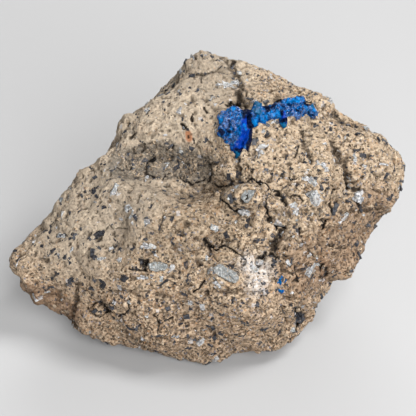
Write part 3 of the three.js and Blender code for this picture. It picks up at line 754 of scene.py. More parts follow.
# Where the large crystals show in the rock.
SET_CRYSTALS = {
    "sanidine_front": [(213, 265), (218, 264), (224, 265.5), (231, 269), (237, 273), (240, 277),
                       (239, 280.5), (235, 283), (229, 281.5), (222, 277.5), (216, 274), (212.5, 270)],
    "sanidine_lath": [(148, 264), (153, 262), (160, 262), (167, 264.5), (168, 267.5), (164, 270.5),
                      (157, 271.5), (150, 270.5)],
    "sanidine_block": [(240, 200), (241, 195), (245, 190.5), (250, 189.5), (255, 190), (254, 195),
                       (251, 200), (247, 204), (242, 204)],
    "augite_left": [(140, 261), (143, 258), (147, 260), (149, 264), (147, 269), (143, 271), (140, 267)],
}
SEAT_SWELL = 0.3                    # how far a set crystal is swelled and sunk to fill its seat
SEAT_DROP = 0.5                     # how far the rock lies below its top there
SEAT_REACH = 1.0                    # how near a crystal's own form the rock is lowered for it
SEAT_HIDE = 0.9                     # how far it is pushed into the rock outside its outline

# Stains, kinds of ground and painted shade that face the camera: places, full width, width where they end.
# The hollow, the strip at the left foot, the brown round the right cave and the lower right side carry
# painted shade besides their colour; the patches on the middle and on the crown are painted shade only.
GROUNDS = {
    "hollow": ([(124, 165), (140, 161), (165, 160), (188, 164), (202, 169)], 1.6, 3.4),
    "chalk": ([(250, 262), (262, 270), (257, 285)], 0.6, 2.6),
    "rust": ([(188, 134), (189, 139)], 0.36, 0.62),
    "ash": ([(205, 65), (170, 100), (125, 180), (75, 225)], 4.0, 11.0),
    "umber": ([(34, 294), (50, 305), (70, 314)], 1.0, 2.8),
    "calm": ([(18, 268), (35, 240), (70, 200), (100, 175), (120, 215), (150, 215), (200, 215), (140, 285),
              (60, 265)], 3.0, 6.0),
    "umber_and_shade_cave": ([(322, 264), (327, 270), (325, 279)], 0.5, 1.4),
    "toasted": ([(305, 268), (345, 242), (378, 216)], 2.6, 6.5),
    "pale": ([(262, 138), (290, 146), (318, 146)], 2.5, 5.5),
    "dull": ([(130, 228), (165, 222), (200, 222)], 3.5, 8.0),
    "painted_shade_top": ([(196, 62), (216, 68), (222, 84)], 2.0, 5.0),
    "calm_top": ([(160, 110), (205, 95), (205, 130)], 3.0, 6.0),
    "blocky": ([(235, 200), (275, 205), (300, 235), (265, 240), (225, 240)], 3.0, 7.0),
    "laminated": ([(150, 320), (200, 325), (270, 325)], 4.0, 8.0),
}


def inside_outline(spots, outline):
    """How far inside an outline each spot is seen, in millimetres, or below 0 how far outside."""
    away = spots - np.array(EYE)
    depth = away @ np.array(SIGHT)
    right = VIEW_SIDE / 2 + away @ np.array(ACROSS) / depth / PIXEL
    down = VIEW_SIDE / 2 - away @ np.array(UPWARD) / depth / PIXEL
    seen = np.stack([right, down], axis=1)
    within = np.zeros(len(spots), bool)
    best = np.full(len(spots), np.inf)
    for start, end in zip(outline, outline[1:] + outline[:1]):
        start, end = np.array(start), np.array(end)
        stretch = end - start
        share = np.clip((seen - start) @ stretch / (stretch @ stretch), 0, 1)
        best = np.minimum(best, np.linalg.norm(seen - start - share[:, None] * stretch, axis=1))
        crosses = (start[1] > down) != (end[1] > down)
        if stretch[1]:
            within ^= crosses & (right < start[0] + (down - start[1]) * stretch[0] / stretch[1])
    return np.where(within, best, -best) * PIXEL * CAMERA_DISTANCE


def under(skin, right, down):
    """The spot at a place in the view and its outward direction; where it misses, the nearest of both."""
    line = sight_line(right, down)
    spot, outward, _, _ = skin.ray_cast(EYE, line)
    if spot is None:
        spot, outward, _, _ = skin.find_nearest(EYE + line * CAMERA_DISTANCE)
    return spot, outward


def squeezed(spots):
    """The spots with their depth squeezed, so that features on slanting ground keep their width."""
    line = np.array(SIGHT)
    spots = np.asarray(spots)
    return spots - (spots @ line)[..., None] * line * SQUEEZE


def frame_path(skin, corners, wander=0.6):
    """Points on the rock under a path in the camera's view, wandering a little between its corners."""
    found = []
    for start, end in zip(corners, corners[1:] + corners[-1:]):
        length = math.dist(start, end)
        for index in range(max(1, round(length / PATH_STEP))):
            share = index * PATH_STEP / length if length else 0
            shake = wander if 0 < share else 0
            right = start[0] + (end[0] - start[0]) * share + rng.uniform(-shake, shake)
            down = start[1] + (end[1] - start[1]) * share + rng.uniform(-shake, shake)
            found.append(np.array(under(skin, right, down)[0]))
    return found


def distance_to(path, spots, reach):
    """How far each spot is from a path, or the reach where it is further; both are squeezed first."""
    path = list(squeezed(path))
    best = np.full(len(spots), float(reach))
    low = np.min(path, axis=0) - reach
    high = np.max(path, axis=0) + reach
    near = np.flatnonzero(((spots > low) & (spots < high)).all(1))
    close = spots[near]
    for start, end in zip(path, path[1:] + path[-1:]):
        stretch = end - start
        length = stretch @ stretch
        share = np.clip((close - start) @ stretch / max(length, 1e-9), 0, 1)
        away = np.linalg.norm(close - start - share[:, None] * stretch, axis=1)
        best[near] = np.minimum(best[near], away)
    return best


def cell_relief(spot, size, gap):
    """A crumb of its own height in each cell: -1 in a gap between crumbs, up to 1 on a crumb."""
    near, centres = noise.voronoi(spot / size)
    height = noise.cell(centres[0] * 7.3)
    edge = min(1.0, (near[1] - near[0]) / gap)
    return edge * (0.35 + 0.65 * height) * 2 - 1


def rock_relief(spot, calm, blocky, laminated, hollow):
    """Rise of the broken surface over the plain rock at a spot."""
    stirred = spot + noise.noise_vector(spot / 1.7) * 0.6
    broken = 1 - 0.7 * calm
    rise = 0.40 * noise.fractal(spot / 5.0, 0.8, 2.1, 5) * (1 - 0.45 * calm)
    rise += (0.10 + 0.20 * blocky) * cell_relief(stirred + Vector((3, 1, 2)), 3.6, 0.10)
    crumbly = 0.5 + 0.5 * noise.noise(spot / 4.0 + Vector((11, 5, 8))) + 0.7 * hollow
    rise += 0.20 * crumbly * cell_relief(stirred, 1.3, 0.4) * broken
    rise += 0.09 * crumbly * cell_relief(stirred + Vector((7, 2, 5)), 0.75, 0.4) * broken
    rise += 0.13 * noise.fractal(spot / 0.9, 0.6, 2.2, 4) * (1 - 0.5 * calm)
    holes = noise.noise(spot / 1.1 + Vector((40, 7, 9)))
    if holes > HOLE_START:
        rise -= (holes - HOLE_START) * 4.2 * (1 - 0.6 * calm)
    pricks = noise.noise(spot / 0.6 + Vector((9, 31, 4)))
    if pricks > PRICK_START:
        rise -= (pricks - PRICK_START) * 2.2 * (1 - 0.5 * calm)
    low = max(0.0, min(1.0, (LAYERS_END - spot.z) / LAYERS_FADE)) * 0.7 + laminated
    layers = Vector((spot.x / 4, spot.y / 4, (spot.z + 0.5 * noise.noise(spot / 3.0)) / 0.65))
    rise += 0.17 * low * noise.fractal(layers, 0.7, 2.1, 3)
    slit = abs(noise.noise(layers * 0.8 + Vector((5, 9, 2))))
    if slit < SLIT:
        rise -= 0.30 * min(1.0, low) * (1 - slit / SLIT)
    return rise


def halve_squares(mesh, near):
    """Halves the squares of the skin round the vertices that are near a cleft."""
    shape = bmesh.new()
    shape.from_mesh(mesh)
    shape.verts.ensure_lookup_table()
    chosen = [edge for edge in shape.edges if near[edge.verts[0].index] and near[edge.verts[1].index]]
    bmesh.ops.subdivide_edges(shape, edges=chosen, cuts=1, use_grid_fill=True)
    bmesh.ops.triangulate(shape, faces=[face for face in shape.faces if len(face.verts) > 4])
    shape.to_mesh(mesh)
    shape.free()


def filled_rock():
    """The rock with its crystals in their seats, so that no gap is left round them."""
    whole = loose("matrix")
    for node in [*SET_CRYSTALS, *NESTS]:
        plug = loose(node)
        middle = sum((corner.co for corner in plug.verts), Vector()) / len(plug.verts)
        for corner in plug.verts:
            corner.co += (corner.co - middle).normalized() * SEAT_SWELL + SIGHT * SEAT_SWELL
        pour(plug, whole)
        plug.free()
    return as_object("tuff_rock", whole)


def sunk_seats(spots, rise):
    """The rise with the rock lowered under each set crystal and nest, and how much painted shade the lowered
    rock gets.
    """
    seat_shade = np.zeros(len(spots))
    seats = [(node, outline, 0.0, SEAT_DROP) for node, outline in SET_CRYSTALS.items()]
    seats += [(node, outline, LIP_DROP, NEST_DROP) for node, outline in NESTS.items()]
    for node, outline, lip, drop in seats:
        over = 1 - smooth_step(0.6, SEAT_REACH, distance_to_node(node, spots, SEAT_REACH))
        inside = inside_outline(spots, outline)
        rise = rise * (1 - 0.7 * over) - (lip + (drop - lip) * smooth_step(-0.12, 0.12, inside)) * over
        seat_shade = np.maximum(seat_shade, over * smooth_step(-0.02, 0.1, inside))
    return rise, seat_shade


def distance_to_node(node, spots, reach):
    """How far each spot is from a CAD node's surface, or the reach where it is further."""
    plug = loose(node)
    form = BVHTree.FromBMesh(plug)
    plug.free()
    low = Vector(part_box(node)[0]) / METRES
    high = Vector(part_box(node)[1]) / METRES
    near = ((spots > np.array(low) - reach) & (spots < np.array(high) + reach)).all(1)
    away = np.full(len(spots), reach)
    for index in np.flatnonzero(near):
        found = form.find_nearest(spots[index], reach)[3]
        if found is not None:
            away[index] = found
    return away


def build_rock():
    rock = revoxelled(filled_rock(), ROCK_SKIN)
    mesh = rock.data
    halve_squares(mesh, outwards(mesh) @ np.array(SIGHT) < -FACING)
    skin = skin_of(mesh)
    clefts = [(frame_path(skin, corners), half, depth, dark)
              for corners, half, depth, dark in CLEFTS.values()]
    spots = squeezed(places(mesh))
    near = np.zeros(len(spots), bool)
    for path, half, _, _ in clefts:
        if half < THIN_CLEFT:
            near |= distance_to(path, spots, half + 2 * THIN_MARGIN) < half + THIN_MARGIN
    halve_squares(mesh, near)

    spots = places(mesh)
    flat = squeezed(spots)
    way_out = neighbours_mean(mesh, outwards(mesh), 6)
    way_out /= np.linalg.norm(way_out, axis=1)[:, None]
    keep = smooth_step(0.0, RESTING, spots[:, 2])
    ground = {}
    for name, (corners, full, end) in GROUNDS.items():
        ground[name] = 1 - smooth_step(full, end, distance_to(frame_path(skin, corners, wander=0), flat, end))
    ground["calm"] = np.maximum(ground["calm"], ground["calm_top"])
    ground["dull"] = np.maximum(ground["dull"], ground["painted_shade_top"])
    ground["umber"] = np.maximum(ground["umber"], ground["umber_and_shade_cave"])

    kinds = zip(ground["calm"], ground["blocky"], ground["laminated"], ground["hollow"])
    rise = np.array([rock_relief(Vector(spot), *kind) for spot, kind in zip(spots, kinds)])
    rise, seat_shade = sunk_seats(spots, rise)
    for corners, half, height in EDGES.values():
        away = distance_to(frame_path(skin, corners), flat, half * 2)
        rise += height * (1 - smooth_step(half * 0.2, half * 1.5, away))
    for corners, half, height in LUMPS.values():
        away = distance_to(frame_path(skin, corners), flat, half * 2)
        rise += height * (1 - smooth_step(half * 0.35, half * 1.25, away))
        if height > 0:
            rise -= height * MOAT * np.exp(-((away - half * 1.3) / MOAT_WIDTH) ** 2)
    # painted shade inside each cleft, cave and pit, as much as its table gives
    cleft = np.zeros(len(spots))
    sunk = np.zeros(len(spots))
    for path, half, depth, dark in clefts:
        away = distance_to(path, flat, half * 2)
        for index in np.flatnonzero(away < half * 2):
            spot = Vector(spots[index])
            away[index] += half * (0.7 * noise.noise(spot / 0.5) + 0.8 * max(0.0, noise.noise(spot / 1.3)))
        inside = 1 - smooth_step(half * 0.2, half * 1.15, away)
        sunk += depth * inside
        cleft = np.maximum(cleft, dark * smooth_step(0.2, 0.6, inside))

    spots = spots + (way_out * rise[:, None] + np.array(SIGHT) * sunk[:, None]) * keep[:, None]
    spots[:, 2] = np.maximum(spots[:, 2], 0)
    put(mesh, spots)
    # Painted shade for the creases: how far each vertex lies below the mean of its neighbours.
    dip = ((neighbours_mean(mesh, spots, 4) - spots) * outwards(mesh)).sum(1)
    mark(mesh, "dip", smooth_step(0.008, 0.075, dip) * keep)
    # painted shade of the clefts and of the rock under the crystals
    mark(mesh, "cleft", np.maximum(cleft, seat_shade))
    for name in ("hollow", "chalk", "rust", "ash", "umber", "toasted", "dull", "pale"):
        mark(mesh, name, ground[name])
    mark(mesh, "ochre", 1 - smooth_step(OCHRE_FULL, OCHRE_END, spots[:, 2] + spots[:, 1] * 0.25))
    mesh.shade_smooth()
    return rock


# ---------------------------------------------------------------- grains
def grain_frame(outward, turn):
    """Right, up and out directions on the surface, its right turned about the outward one."""
    out = Vector(outward).normalized()
    right = ACROSS - out * ACROSS.dot(out)
    if right.length < 0.2:
        right = UPWARD - out * UPWARD.dot(out)
    right.normalize()
    right = Matrix.Rotation(turn, 3, out) @ right
    return Matrix((right, out.cross(right), out)).transposed()


def add_chip(shape, spot, facing, size, kind):
    """Adds one crystal: a block, a six-sided lath or a crumb, jittered so that no two are alike."""
    place = Matrix.Translation(spot) @ facing.to_4x4() @ Matrix.Diagonal((*size, 1))
    if kind == "block":
        made = bmesh.ops.create_cube(shape, size=2, matrix=place)["verts"]
    elif kind == "lath":
        lie = place @ Matrix.Rotation(math.pi / 2, 4, "Y")
        made = bmesh.ops.create_cone(shape, cap_ends=True, segments=6, radius1=1, radius2=0.75,
                                     depth=2, matrix=lie)["verts"]
    else:
        made = bmesh.ops.create_icosphere(shape, subdivisions=1, radius=1, matrix=place)["verts"]
    shake = min(size) * 0.45
    for corner in made:
        corner.co += jitter(shake)
    return made


class Strewn:
    """Random places on the rock, even over its area."""

    def __init__(self, mesh, seed):
        mesh.calc_loop_triangles()
        corners = np.empty(len(mesh.loop_triangles) * 3, np.int64)
        mesh.loop_triangles.foreach_get("vertices", corners)
        self.corners = corners.reshape(-1, 3)
        self.spots = places(mesh)
        self.outward = outwards(mesh)
        a, b, c = (self.spots[self.corners[:, i]] for i in range(3))
        areas = np.linalg.norm(np.cross(b - a, c - a), axis=1)
        self.shares = areas / areas.sum()
        self.dice = np.random.default_rng(seed)

    def draw(self, count):
        chosen = self.dice.choice(len(self.shares), count, p=self.shares)
        weights = self.dice.dirichlet((1, 1, 1), count)
        corners = self.corners[chosen]
        spots = (self.spots[corners] * weights[:, :, None]).sum(1)
        outward = (self.outward[corners] * weights[:, :, None]).sum(1)
        return [(Vector(s), Vector(o).normalized()) for s, o in zip(spots, outward) if s[2] > 0.5]


# Grains that face the camera: place in its view, half length, half width in millimetres, turn in
# degrees.
AUGITE_GRAINS = [
    ((74, 234), 0.50, 0.35, 20), ((70, 238), 0.28, 0.22, 0), ((98, 235), 0.9, 0.42, 30),
    ((89, 239), 0.4, 0.4, 60), ((164, 282), 0.85, 0.22, 20), ((133, 270), 0.6, 0.2, 0),
    ((57, 273), 0.35, 0.35, 0), ((53, 279), 0.35, 0.25, 40), ((103, 282), 0.6, 0.25, -25),
    ((123, 278), 0.5, 0.45, 10), ((72, 281), 0.5, 0.35, 30), ((192, 196), 0.25, 0.65, 10),
    ((153, 233), 0.35, 0.2, 0), ((136, 329), 0.55, 0.32, -30), ((160, 335), 0.5, 0.3, 10),
    ((167, 320), 0.5, 0.1, 20), ((190, 348), 0.65, 0.15, 10), ((258, 241), 0.7, 0.3, 0),
    ((243, 322), 0.45, 0.22, 0), ((242, 336), 0.5, 0.16, 0), ((212, 328), 0.35, 0.25, 0),
    ((257, 306), 0.45, 0.25, -15), ((363, 155), 0.42, 0.32, -30), ((378, 139), 0.3, 0.4, 0),
    ((358, 134), 0.7, 0.25, 0), ((328, 113), 0.3, 0.25, 0), ((171, 147), 0.55, 0.24, 45),
    ((179, 165), 0.25, 0.6, 0), ((273, 262), 0.45, 0.4, 0), ((300, 316), 0.7, 0.7, 60),
    ((335, 209), 0.35, 0.7, -20), ((109, 180), 0.4, 0.25, 20), ((97, 187), 0.3, 0.25, 0),
    ((95, 257), 0.4, 0.4, 0), ((231, 198), 0.3, 0.7, 20), ((310, 280), 0.85, 0.12, 50),
    ((292, 305), 0.25, 0.4, 0), ((230, 196), 0.3, 0.3, 0), ((378, 235), 0.35, 0.25, 0),
    ((221, 200), 0.2, 0.2, 0), ((75, 236), 0.45, 0.35, 50), ((100, 233), 0.6, 0.25, 30),
    ((79, 212), 0.45, 0.14, 35), ((174, 85), 0.35, 0.3, 0), ((190, 88), 0.3, 0.22, 0),
    ((196, 92), 0.3, 0.25, 40), ((181, 94), 0.2, 0.3, 0), ((163, 102), 0.25, 0.2, 0),
    ((191, 103), 0.22, 0.3, 0), ((207, 123), 0.25, 0.2, 0), ((215, 124), 0.22, 0.28, 0),
    ((211, 116), 0.3, 0.2, 30), ((212, 57), 0.3, 0.25, 0), ((201, 55), 0.3, 0.35, 0),
    ((262, 101), 0.25, 0.25, 0), ((256, 140), 0.35, 0.3, 20), ((285, 136), 0.22, 0.22, 0),
    ((277, 128), 0.28, 0.24, 0), ((277, 131), 0.2, 0.2, 0), ((324, 129), 0.25, 0.2, 0),
    ((252, 169), 0.35, 0.35, 0), ((259, 206), 0.4, 0.2, 40), ((284, 197), 0.3, 0.3, 0),
    ((263, 241), 0.35, 0.3, 0), ((274, 266), 0.5, 0.25, -20), ((276, 273), 0.28, 0.24, 0),
    ((297, 186), 0.3, 0.2, 60), ((283, 173), 0.5, 0.2, 40), ((154, 252), 0.4, 0.25, -20),
    ((120, 250), 0.35, 0.3, 30), ((117, 246), 0.4, 0.2, -30), ((65, 256), 0.45, 0.25, 40),
    ((54, 276), 0.5, 0.28, 50), ((126, 277), 0.4, 0.35, 0), ((69, 283), 0.4, 0.4, 0),
    ((146, 239), 0.3, 0.3, 0), ((237, 272), 0.55, 0.09, -38), ((230, 268), 0.6, 0.08, -33),
    ((263, 283), 0.3, 0.3, 0), ((257, 302), 0.5, 0.18, -20), ((219, 303), 0.3, 0.2, 0),
    ((232, 301), 0.35, 0.25, 0), ((226, 307), 0.3, 0.15, 0), ((186, 316), 0.35, 0.2, -30),
    ((365, 138), 0.3, 0.2, 0), ((347, 134), 0.35, 0.25, 30), ((394, 170), 0.3, 0.3, 0),
    ((388, 198), 0.35, 0.3, 0), ((372, 156), 0.25, 0.2, 0), ((311, 119), 0.2, 0.2, 0),
    ((247, 74), 0.25, 0.2, 0), ((268, 84), 0.3, 0.2, 0), ((290, 92), 0.22, 0.2, 0),
    ((258, 76), 0.2, 0.25, 0), ((306, 163), 0.3, 0.25, 0), ((318, 170), 0.35, 0.25, -30),
]
SANIDINE_GRAINS = [
    ((217, 285), 0.8, 0.28, -35), ((172, 267), 0.5, 0.3, 10), ((145, 278), 0.85, 0.26, 8),
    ((127, 212), 0.28, 0.6, 5), ((133, 212), 0.2, 0.65, 0), ((130, 208), 0.45, 0.2, -10),
    ((121, 219), 0.35, 0.25, 0), ((113, 190), 0.8, 0.32, 35), ((112, 249), 0.45, 0.25, 30),
    ((119, 260), 0.4, 0.4, 0), ((42, 283), 0.22, 0.22, 0), ((226, 85), 1.5, 0.32, 8),
    ((147, 222), 0.4, 0.4, 0), ((238, 186), 0.6, 0.25, 45), ((245, 213), 0.8, 0.4, -20),
    ((231, 198), 0.5, 0.4, -40), ((147, 110), 0.7, 0.35, 30), ((181, 72), 0.3, 0.5, 0),
    ((179, 91), 0.35, 0.22, 40), ((322, 165), 0.8, 0.4, -35), ((327, 170), 0.4, 0.3, 0),
    ((315, 199), 1.0, 0.6, -50), ((309, 180), 1.0, 0.4, -25), ((355, 159), 0.32, 0.9, 15),
    ((383, 164), 1.1, 0.25, -10), ((344, 218), 0.9, 0.28, 25), ((359, 196), 0.8, 0.6, 30),
    ((331, 99), 0.5, 0.3, -50), ((101, 258), 0.5, 0.28, 0), ((71, 251), 0.6, 0.2, 55),
    ((313, 267), 1.5, 0.32, 28), ((262, 148), 0.8, 0.4, 30), ((262, 152), 0.4, 0.3, 0),
    ((182, 152), 0.35, 0.25, 0), ((150, 246), 0.9, 0.4, -20), ((144, 245), 0.5, 0.25, 30),
    ((297, 208), 0.4, 0.3, 0), ((334, 160), 0.25, 0.5, 10), ((252, 268), 0.8, 0.4, -30),
    ((262, 262), 0.7, 0.4, 40), ((257, 280), 0.5, 0.3, 0), ((190, 302), 0.4, 0.25, 20),
    ((300, 245), 0.6, 0.4, 0), ((363, 215), 0.4, 0.25, 0), ((222, 86), 0.8, 0.3, -5),
    ((233, 84), 0.8, 0.35, 20), ((217, 84), 0.3, 0.25, 0), ((131, 216), 0.5, 0.3, 60),
    ((126, 209), 0.3, 0.3, 0), ((136, 217), 0.3, 0.25, 0), ((283, 233), 0.6, 0.4, 0),
    ((305, 178), 0.6, 0.4, -20), ((312, 182), 0.6, 0.45, -30), ((237, 187), 0.5, 0.3, 50),
    ((243, 214), 0.7, 0.25, -25), ((236, 222), 0.4, 0.25, 0), ((293, 206), 0.5, 0.4, 60),
    ((296, 213), 0.35, 0.4, 0), ((312, 195), 0.5, 0.3, -50), ((318, 203), 0.5, 0.35, -50),
    ((307, 271), 0.7, 0.28, 35), ((318, 265), 0.8, 0.28, 12), ((114, 192), 0.3, 0.3, 0),
    ((157, 256), 0.5, 0.2, -30),
]
HAUYNE_GRAINS = [
    ((281, 279), 0.55, 0.3, 60), ((279, 283), 0.45, 0.42, 0), ((284, 281), 0.38, 0.4, 0),
    ((281, 291), 0.36, 0.38, 0), ((186, 234), 0.2, 0.2, 0), ((297, 185), 0.18, 0.18, 0),
]
NAMED_GROWTH = 1.15                 # named grains are this much larger than their table says
BATCH = 60                          # grains that are shaped together, before they join the rest


class Grains:
    """Grains of one kind that end as one joined mesh; each carries its own number between 0 and 1."""

    def __init__(self, name, number_name):
        self.name = name
        self.number_name = number_name
        self.whole = bmesh.new()
        self.batch = bmesh.new()
        self.batch.verts.layers.float.new(number_name)
        self.waiting = 0

    def add(self, spot, facing, size, kind, number):
        made = add_chip(self.batch, spot, facing, size, kind)
        layer = self.batch.verts.layers.float[self.number_name]
        for corner in made:
            corner[layer] = number
        self.waiting += 1
        if self.waiting >= BATCH:
            self.join()

    def join(self):
        bmesh.ops.recalc_face_normals(self.batch, faces=self.batch.faces)
        pour(self.batch, self.whole)
        self.batch.clear()
        if self.number_name not in self.batch.verts.layers.float:
            self.batch.verts.layers.float.new(self.number_name)
        self.waiting = 0

    def done(self, finish, slot):
        self.join()
        self.batch.free()
        return finished(as_object(self.name, self.whole), finish, slot)


def add_named(grains, skin, rows, kinds):
    """Adds the grains that face the camera, each a cluster of broken chips that lie much the same way."""
    for (right, down), length, width, turn in rows:
        length, width = length * NAMED_GROWTH, width * NAMED_GROWTH
        spot, outward = under(skin, right, down)
        facing = grain_frame(outward, math.radians(turn))
        low = min(length, width)
        for _ in range(2 + round(14 * length * width)):
            reach = rng.random() ** 0.5 * 0.7
            angle = rng.uniform(0, math.tau)
            shift = facing @ Vector((math.cos(angle) * reach * length, math.sin(angle) * reach * width, 0))
            share = rng.uniform(0.3, 0.62)
            height = low * share + 0.08
            lean = Matrix.Rotation(rng.uniform(-0.3, 0.3), 3, "X")
            lean = lean @ Matrix.Rotation(rng.uniform(-0.4, 0.4), 3, "Z")
            centre = spot + shift - Vector(outward) * height * rng.uniform(0.2, 0.6)
            size = (length * share, width * share, height)
            grains.add(centre, facing @ lean, size, rng.choice(kinds), rng.random() ** 1.6)


def add_strewn(grains, strewn, count, small, large, power, sink, kinds):
    """Adds random grains all over the rock, most of them small."""
    for spot, outward in strewn.draw(count):
        half = small + (large - small) * rng.random() ** power
        size = (half * rng.uniform(1.0, 2.0), half, half * rng.uniform(0.6, 1.0))
        facing = grain_frame(outward, rng.uniform(0, math.tau))
        facing = facing @ Matrix.Rotation(rng.uniform(-0.5, 0.5), 3, "X")
        grains.add(spot - outward * size[2] * sink, facing, size, rng.choice(kinds), rng.random() ** 1.5)


def add_patch(grains, skin, corners, spread, count, small, large, kinds):
    """Adds random grains round a path that faces the camera."""
    for _ in range(count):
        which = rng.randrange(len(corners) - 1)
        share = rng.random()
        right = corners[which][0] * (1 - share) + corners[which + 1][0] * share + rng.gauss(0, spread)
        down = corners[which][1] * (1 - share) + corners[which + 1][1] * share + rng.gauss(0, spread)
        spot, outward = under(skin, right, down)
        half = small + (large - small) * rng.random() ** 2
        size = (half * rng.uniform(1.0, 1.8), half, half * rng.uniform(0.6, 1.0))
        grains.add(spot - outward * size[2] * 0.3, grain_frame(outward, rng.uniform(0, math.tau)), size,
                   rng.choice(kinds), rng.random() ** 0.5)


# ---------------------------------------------------------------- blue crystals
# Looks of the blue crystals: name, then paths as (places in the view, full width, width where it ends).
# The navy paths are deep blue glass with painted shade in the recesses between the crystals; the azure paths
# are lighter blue with painted glints.
MAIN_LOOKS = {
    "etched": [([(226, 113), (236, 111), (233, 120), (227, 128), (231, 139)], 0.8, 1.6),
               ([(250, 127)], 0.3, 0.6)],
    "royal": [([(246, 120), (246, 130), (243.5, 139), (238, 147)], 0.5, 0.9)],
    "azure": [([(221, 116), (221, 124)], 0.2, 0.4), ([(229, 110), (234, 110)], 0.1, 0.3),
              ([(240, 116), (242, 118)], 0.1, 0.3), ([(244, 125), (246, 129)], 0.1, 0.3)],
    "teal": [([(237, 153), (237, 159)], 0.3, 0.5), ([(219, 137), (221, 138)], 0.15, 0.4)],
    "lilac": [([(226, 117), (226, 126)], 0.25, 0.5), ([(221, 113), (225, 109)], 0.15, 0.4),
              ([(230, 142), (234, 142)], 0.1, 0.3), ([(234, 122), (235, 130)], 0.08, 0.3),
              ([(246, 146)], 0.1, 0.3)],
    "navy": [([(221, 131), (223, 134)], 0.25, 0.5), ([(246.5, 111), (250, 117), (250.5, 125)], 0.55, 0.8),
             ([(252, 131), (251, 138), (248, 145)], 0.25, 0.45), ([(228, 131), (231, 132)], 0.1, 0.3),
             ([(243, 111), (244, 117)], 0.15, 0.5), ([(236, 149), (240, 151)], 0.15, 0.4),
             ([(229, 120), (230, 127)], 0.05, 0.25), ([(239, 151), (242, 149)], 0.15, 0.4)],
}

SEAM_LOOKS = {
    "etched": [([(256, 107), (270, 107), (290, 105), (310, 110)], 1.0, 2.4)],
    "royal": [([(283, 113), (284, 118)], 0.2, 0.5), ([(302, 102)], 0.1, 0.3)],
    "azure": [([(263, 115), (264, 118)], 0.3, 0.6), ([(257, 117), (271, 114), (278, 116)], 0.2, 0.45),
              ([(278, 111), (279, 119)], 0.2, 0.4), ([(284, 102), (293, 101), (302, 100)], 0.1, 0.5),
              ([(305, 107), (309, 109)], 0.15, 0.4), ([(312, 107), (316, 110)], 0.25, 0.6),
              ([(255, 122)], 0.2, 0.5), ([(261, 107)], 0.15, 0.3)],
    "teal": [([(255, 102), (258, 103)], 0.4, 0.7), ([(255, 110), (259, 112)], 0.3, 0.6),
             ([(312, 104), (313, 106)], 0.2, 0.5), ([(283, 125), (286, 126)], 0.2, 0.4)],
    "lilac": [([(254, 109), (257, 111)], 0.1, 0.4), ([(276, 104), (279, 103)], 0.15, 0.4),
              ([(262, 105)], 0.1, 0.25), ([(290, 115), (298, 115)], 0.05, 0.25)],
    "navy": [([(265, 106), (268, 110)], 0.2, 0.42), ([(272, 107), (275, 105)], 0.15, 0.35),
             ([(282, 111), (282, 114)], 0.12, 0.35), ([(282, 121), (287, 119)], 0.18, 0.4),
             ([(305, 102), (309, 104)], 0.28, 0.5), ([(296, 110), (298, 111)], 0.1, 0.3),
             ([(309, 113), (312, 114)], 0.12, 0.3)],
}

# Crystals added to the nests: place in the camera's view, half sizes, turn in degrees, how far they are sunk.
ADDED_CRYSTALS = {
    "hauyne_main_crystal": [
        ((248, 114), (0.9, 1.0, 0.8), 8, 0.6), ((249.5, 121), (0.8, 1.2, 0.8), 0, 0.8),
        ((249.5, 126), (0.8, 1.1, 0.8), -6, 0.1), ((250.5, 130), (0.7, 0.9, 0.8), -10, 0.2),
        ((250, 135), (0.6, 1.0, 0.9), -18, -0.3), ((247.5, 142), (0.6, 0.9, 0.9), -30, -0.2),
        ((237, 152), (0.3, 0.5, 0.5), 0, 0.3),
        ((240, 133), (0.8, 2.2, 1.3), -17, 0.75), ((221, 132), (0.5, 0.6, 0.7), 0, 0.4),
    ],
    "hauyne_seam": [
        ((254, 122), (0.6, 0.8, 0.8), -25, 0.3), ((311, 109), (0.9, 1.1, 0.9), -14, 0.3),
        ((253, 112), (0.5, 1.2, 0.8), 0, 0.35), ((262, 113), (1.2, 0.7, 0.8), 5, 0.4),
        ((270, 108), (1.2, 0.8, 0.8), -5, 0.5),
        ((306, 105), (0.5, 0.7, 0.8), 0, 0.6), ((313, 115), (0.45, 0.45, 0.6), 20, 0.4),
        ((284, 121), (0.65, 0.95, 0.8), 6, 0.45), ((257, 107), (0.8, 0.9, 0.8), 6, 0.5),
        ((293, 102), (1.9, 0.6, 0.9), 11, 0.45), ((270, 116), (1.4, 0.45, 0.8), 9, 0.5),
    ],
}
CUBE_SIDE = 1.3                     # the cube that an added crystal starts from, in its half sizes
PYRAMID_RISE = 0.6                  # how high the pyramid on each of its faces is raised
CORNER_JITTER = 0.10                # how far its corners are moved, so that no two are alike
LIP_REACH = 4                       # how far to each side the ground is felt under an added crystal
NEST_SKIN = 0.085                   # size of the squares of the blue crystals' skin
NEST_SWELL = 0.05                   # how far they are swelled to meet the rock


def facet_relief(spot, size, tilt):
    """Each cell of the surface leans its own way, as a small flat face does."""
    centre = noise.voronoi(spot / size)[1][0]
    lean = noise.cell_vector(centre * 11.7) - Vector(MIDDLE)
    return lean.dot(spot / size - centre) * tilt * size


def nest_relief(spot, etched, glassy):
    """Steps between crystals grown together, then small broken faces where they are etched."""
    rise = facet_relief(spot, 1.5, 0.55) + 0.06 * cell_relief(spot, 1.1, 0.06)
    rise += (0.35 + 0.65 * etched) * (facet_relief(spot, 0.60, 0.8) + facet_relief(spot, 0.30, 0.6))
    return rise * (1 - 0.75 * glassy)


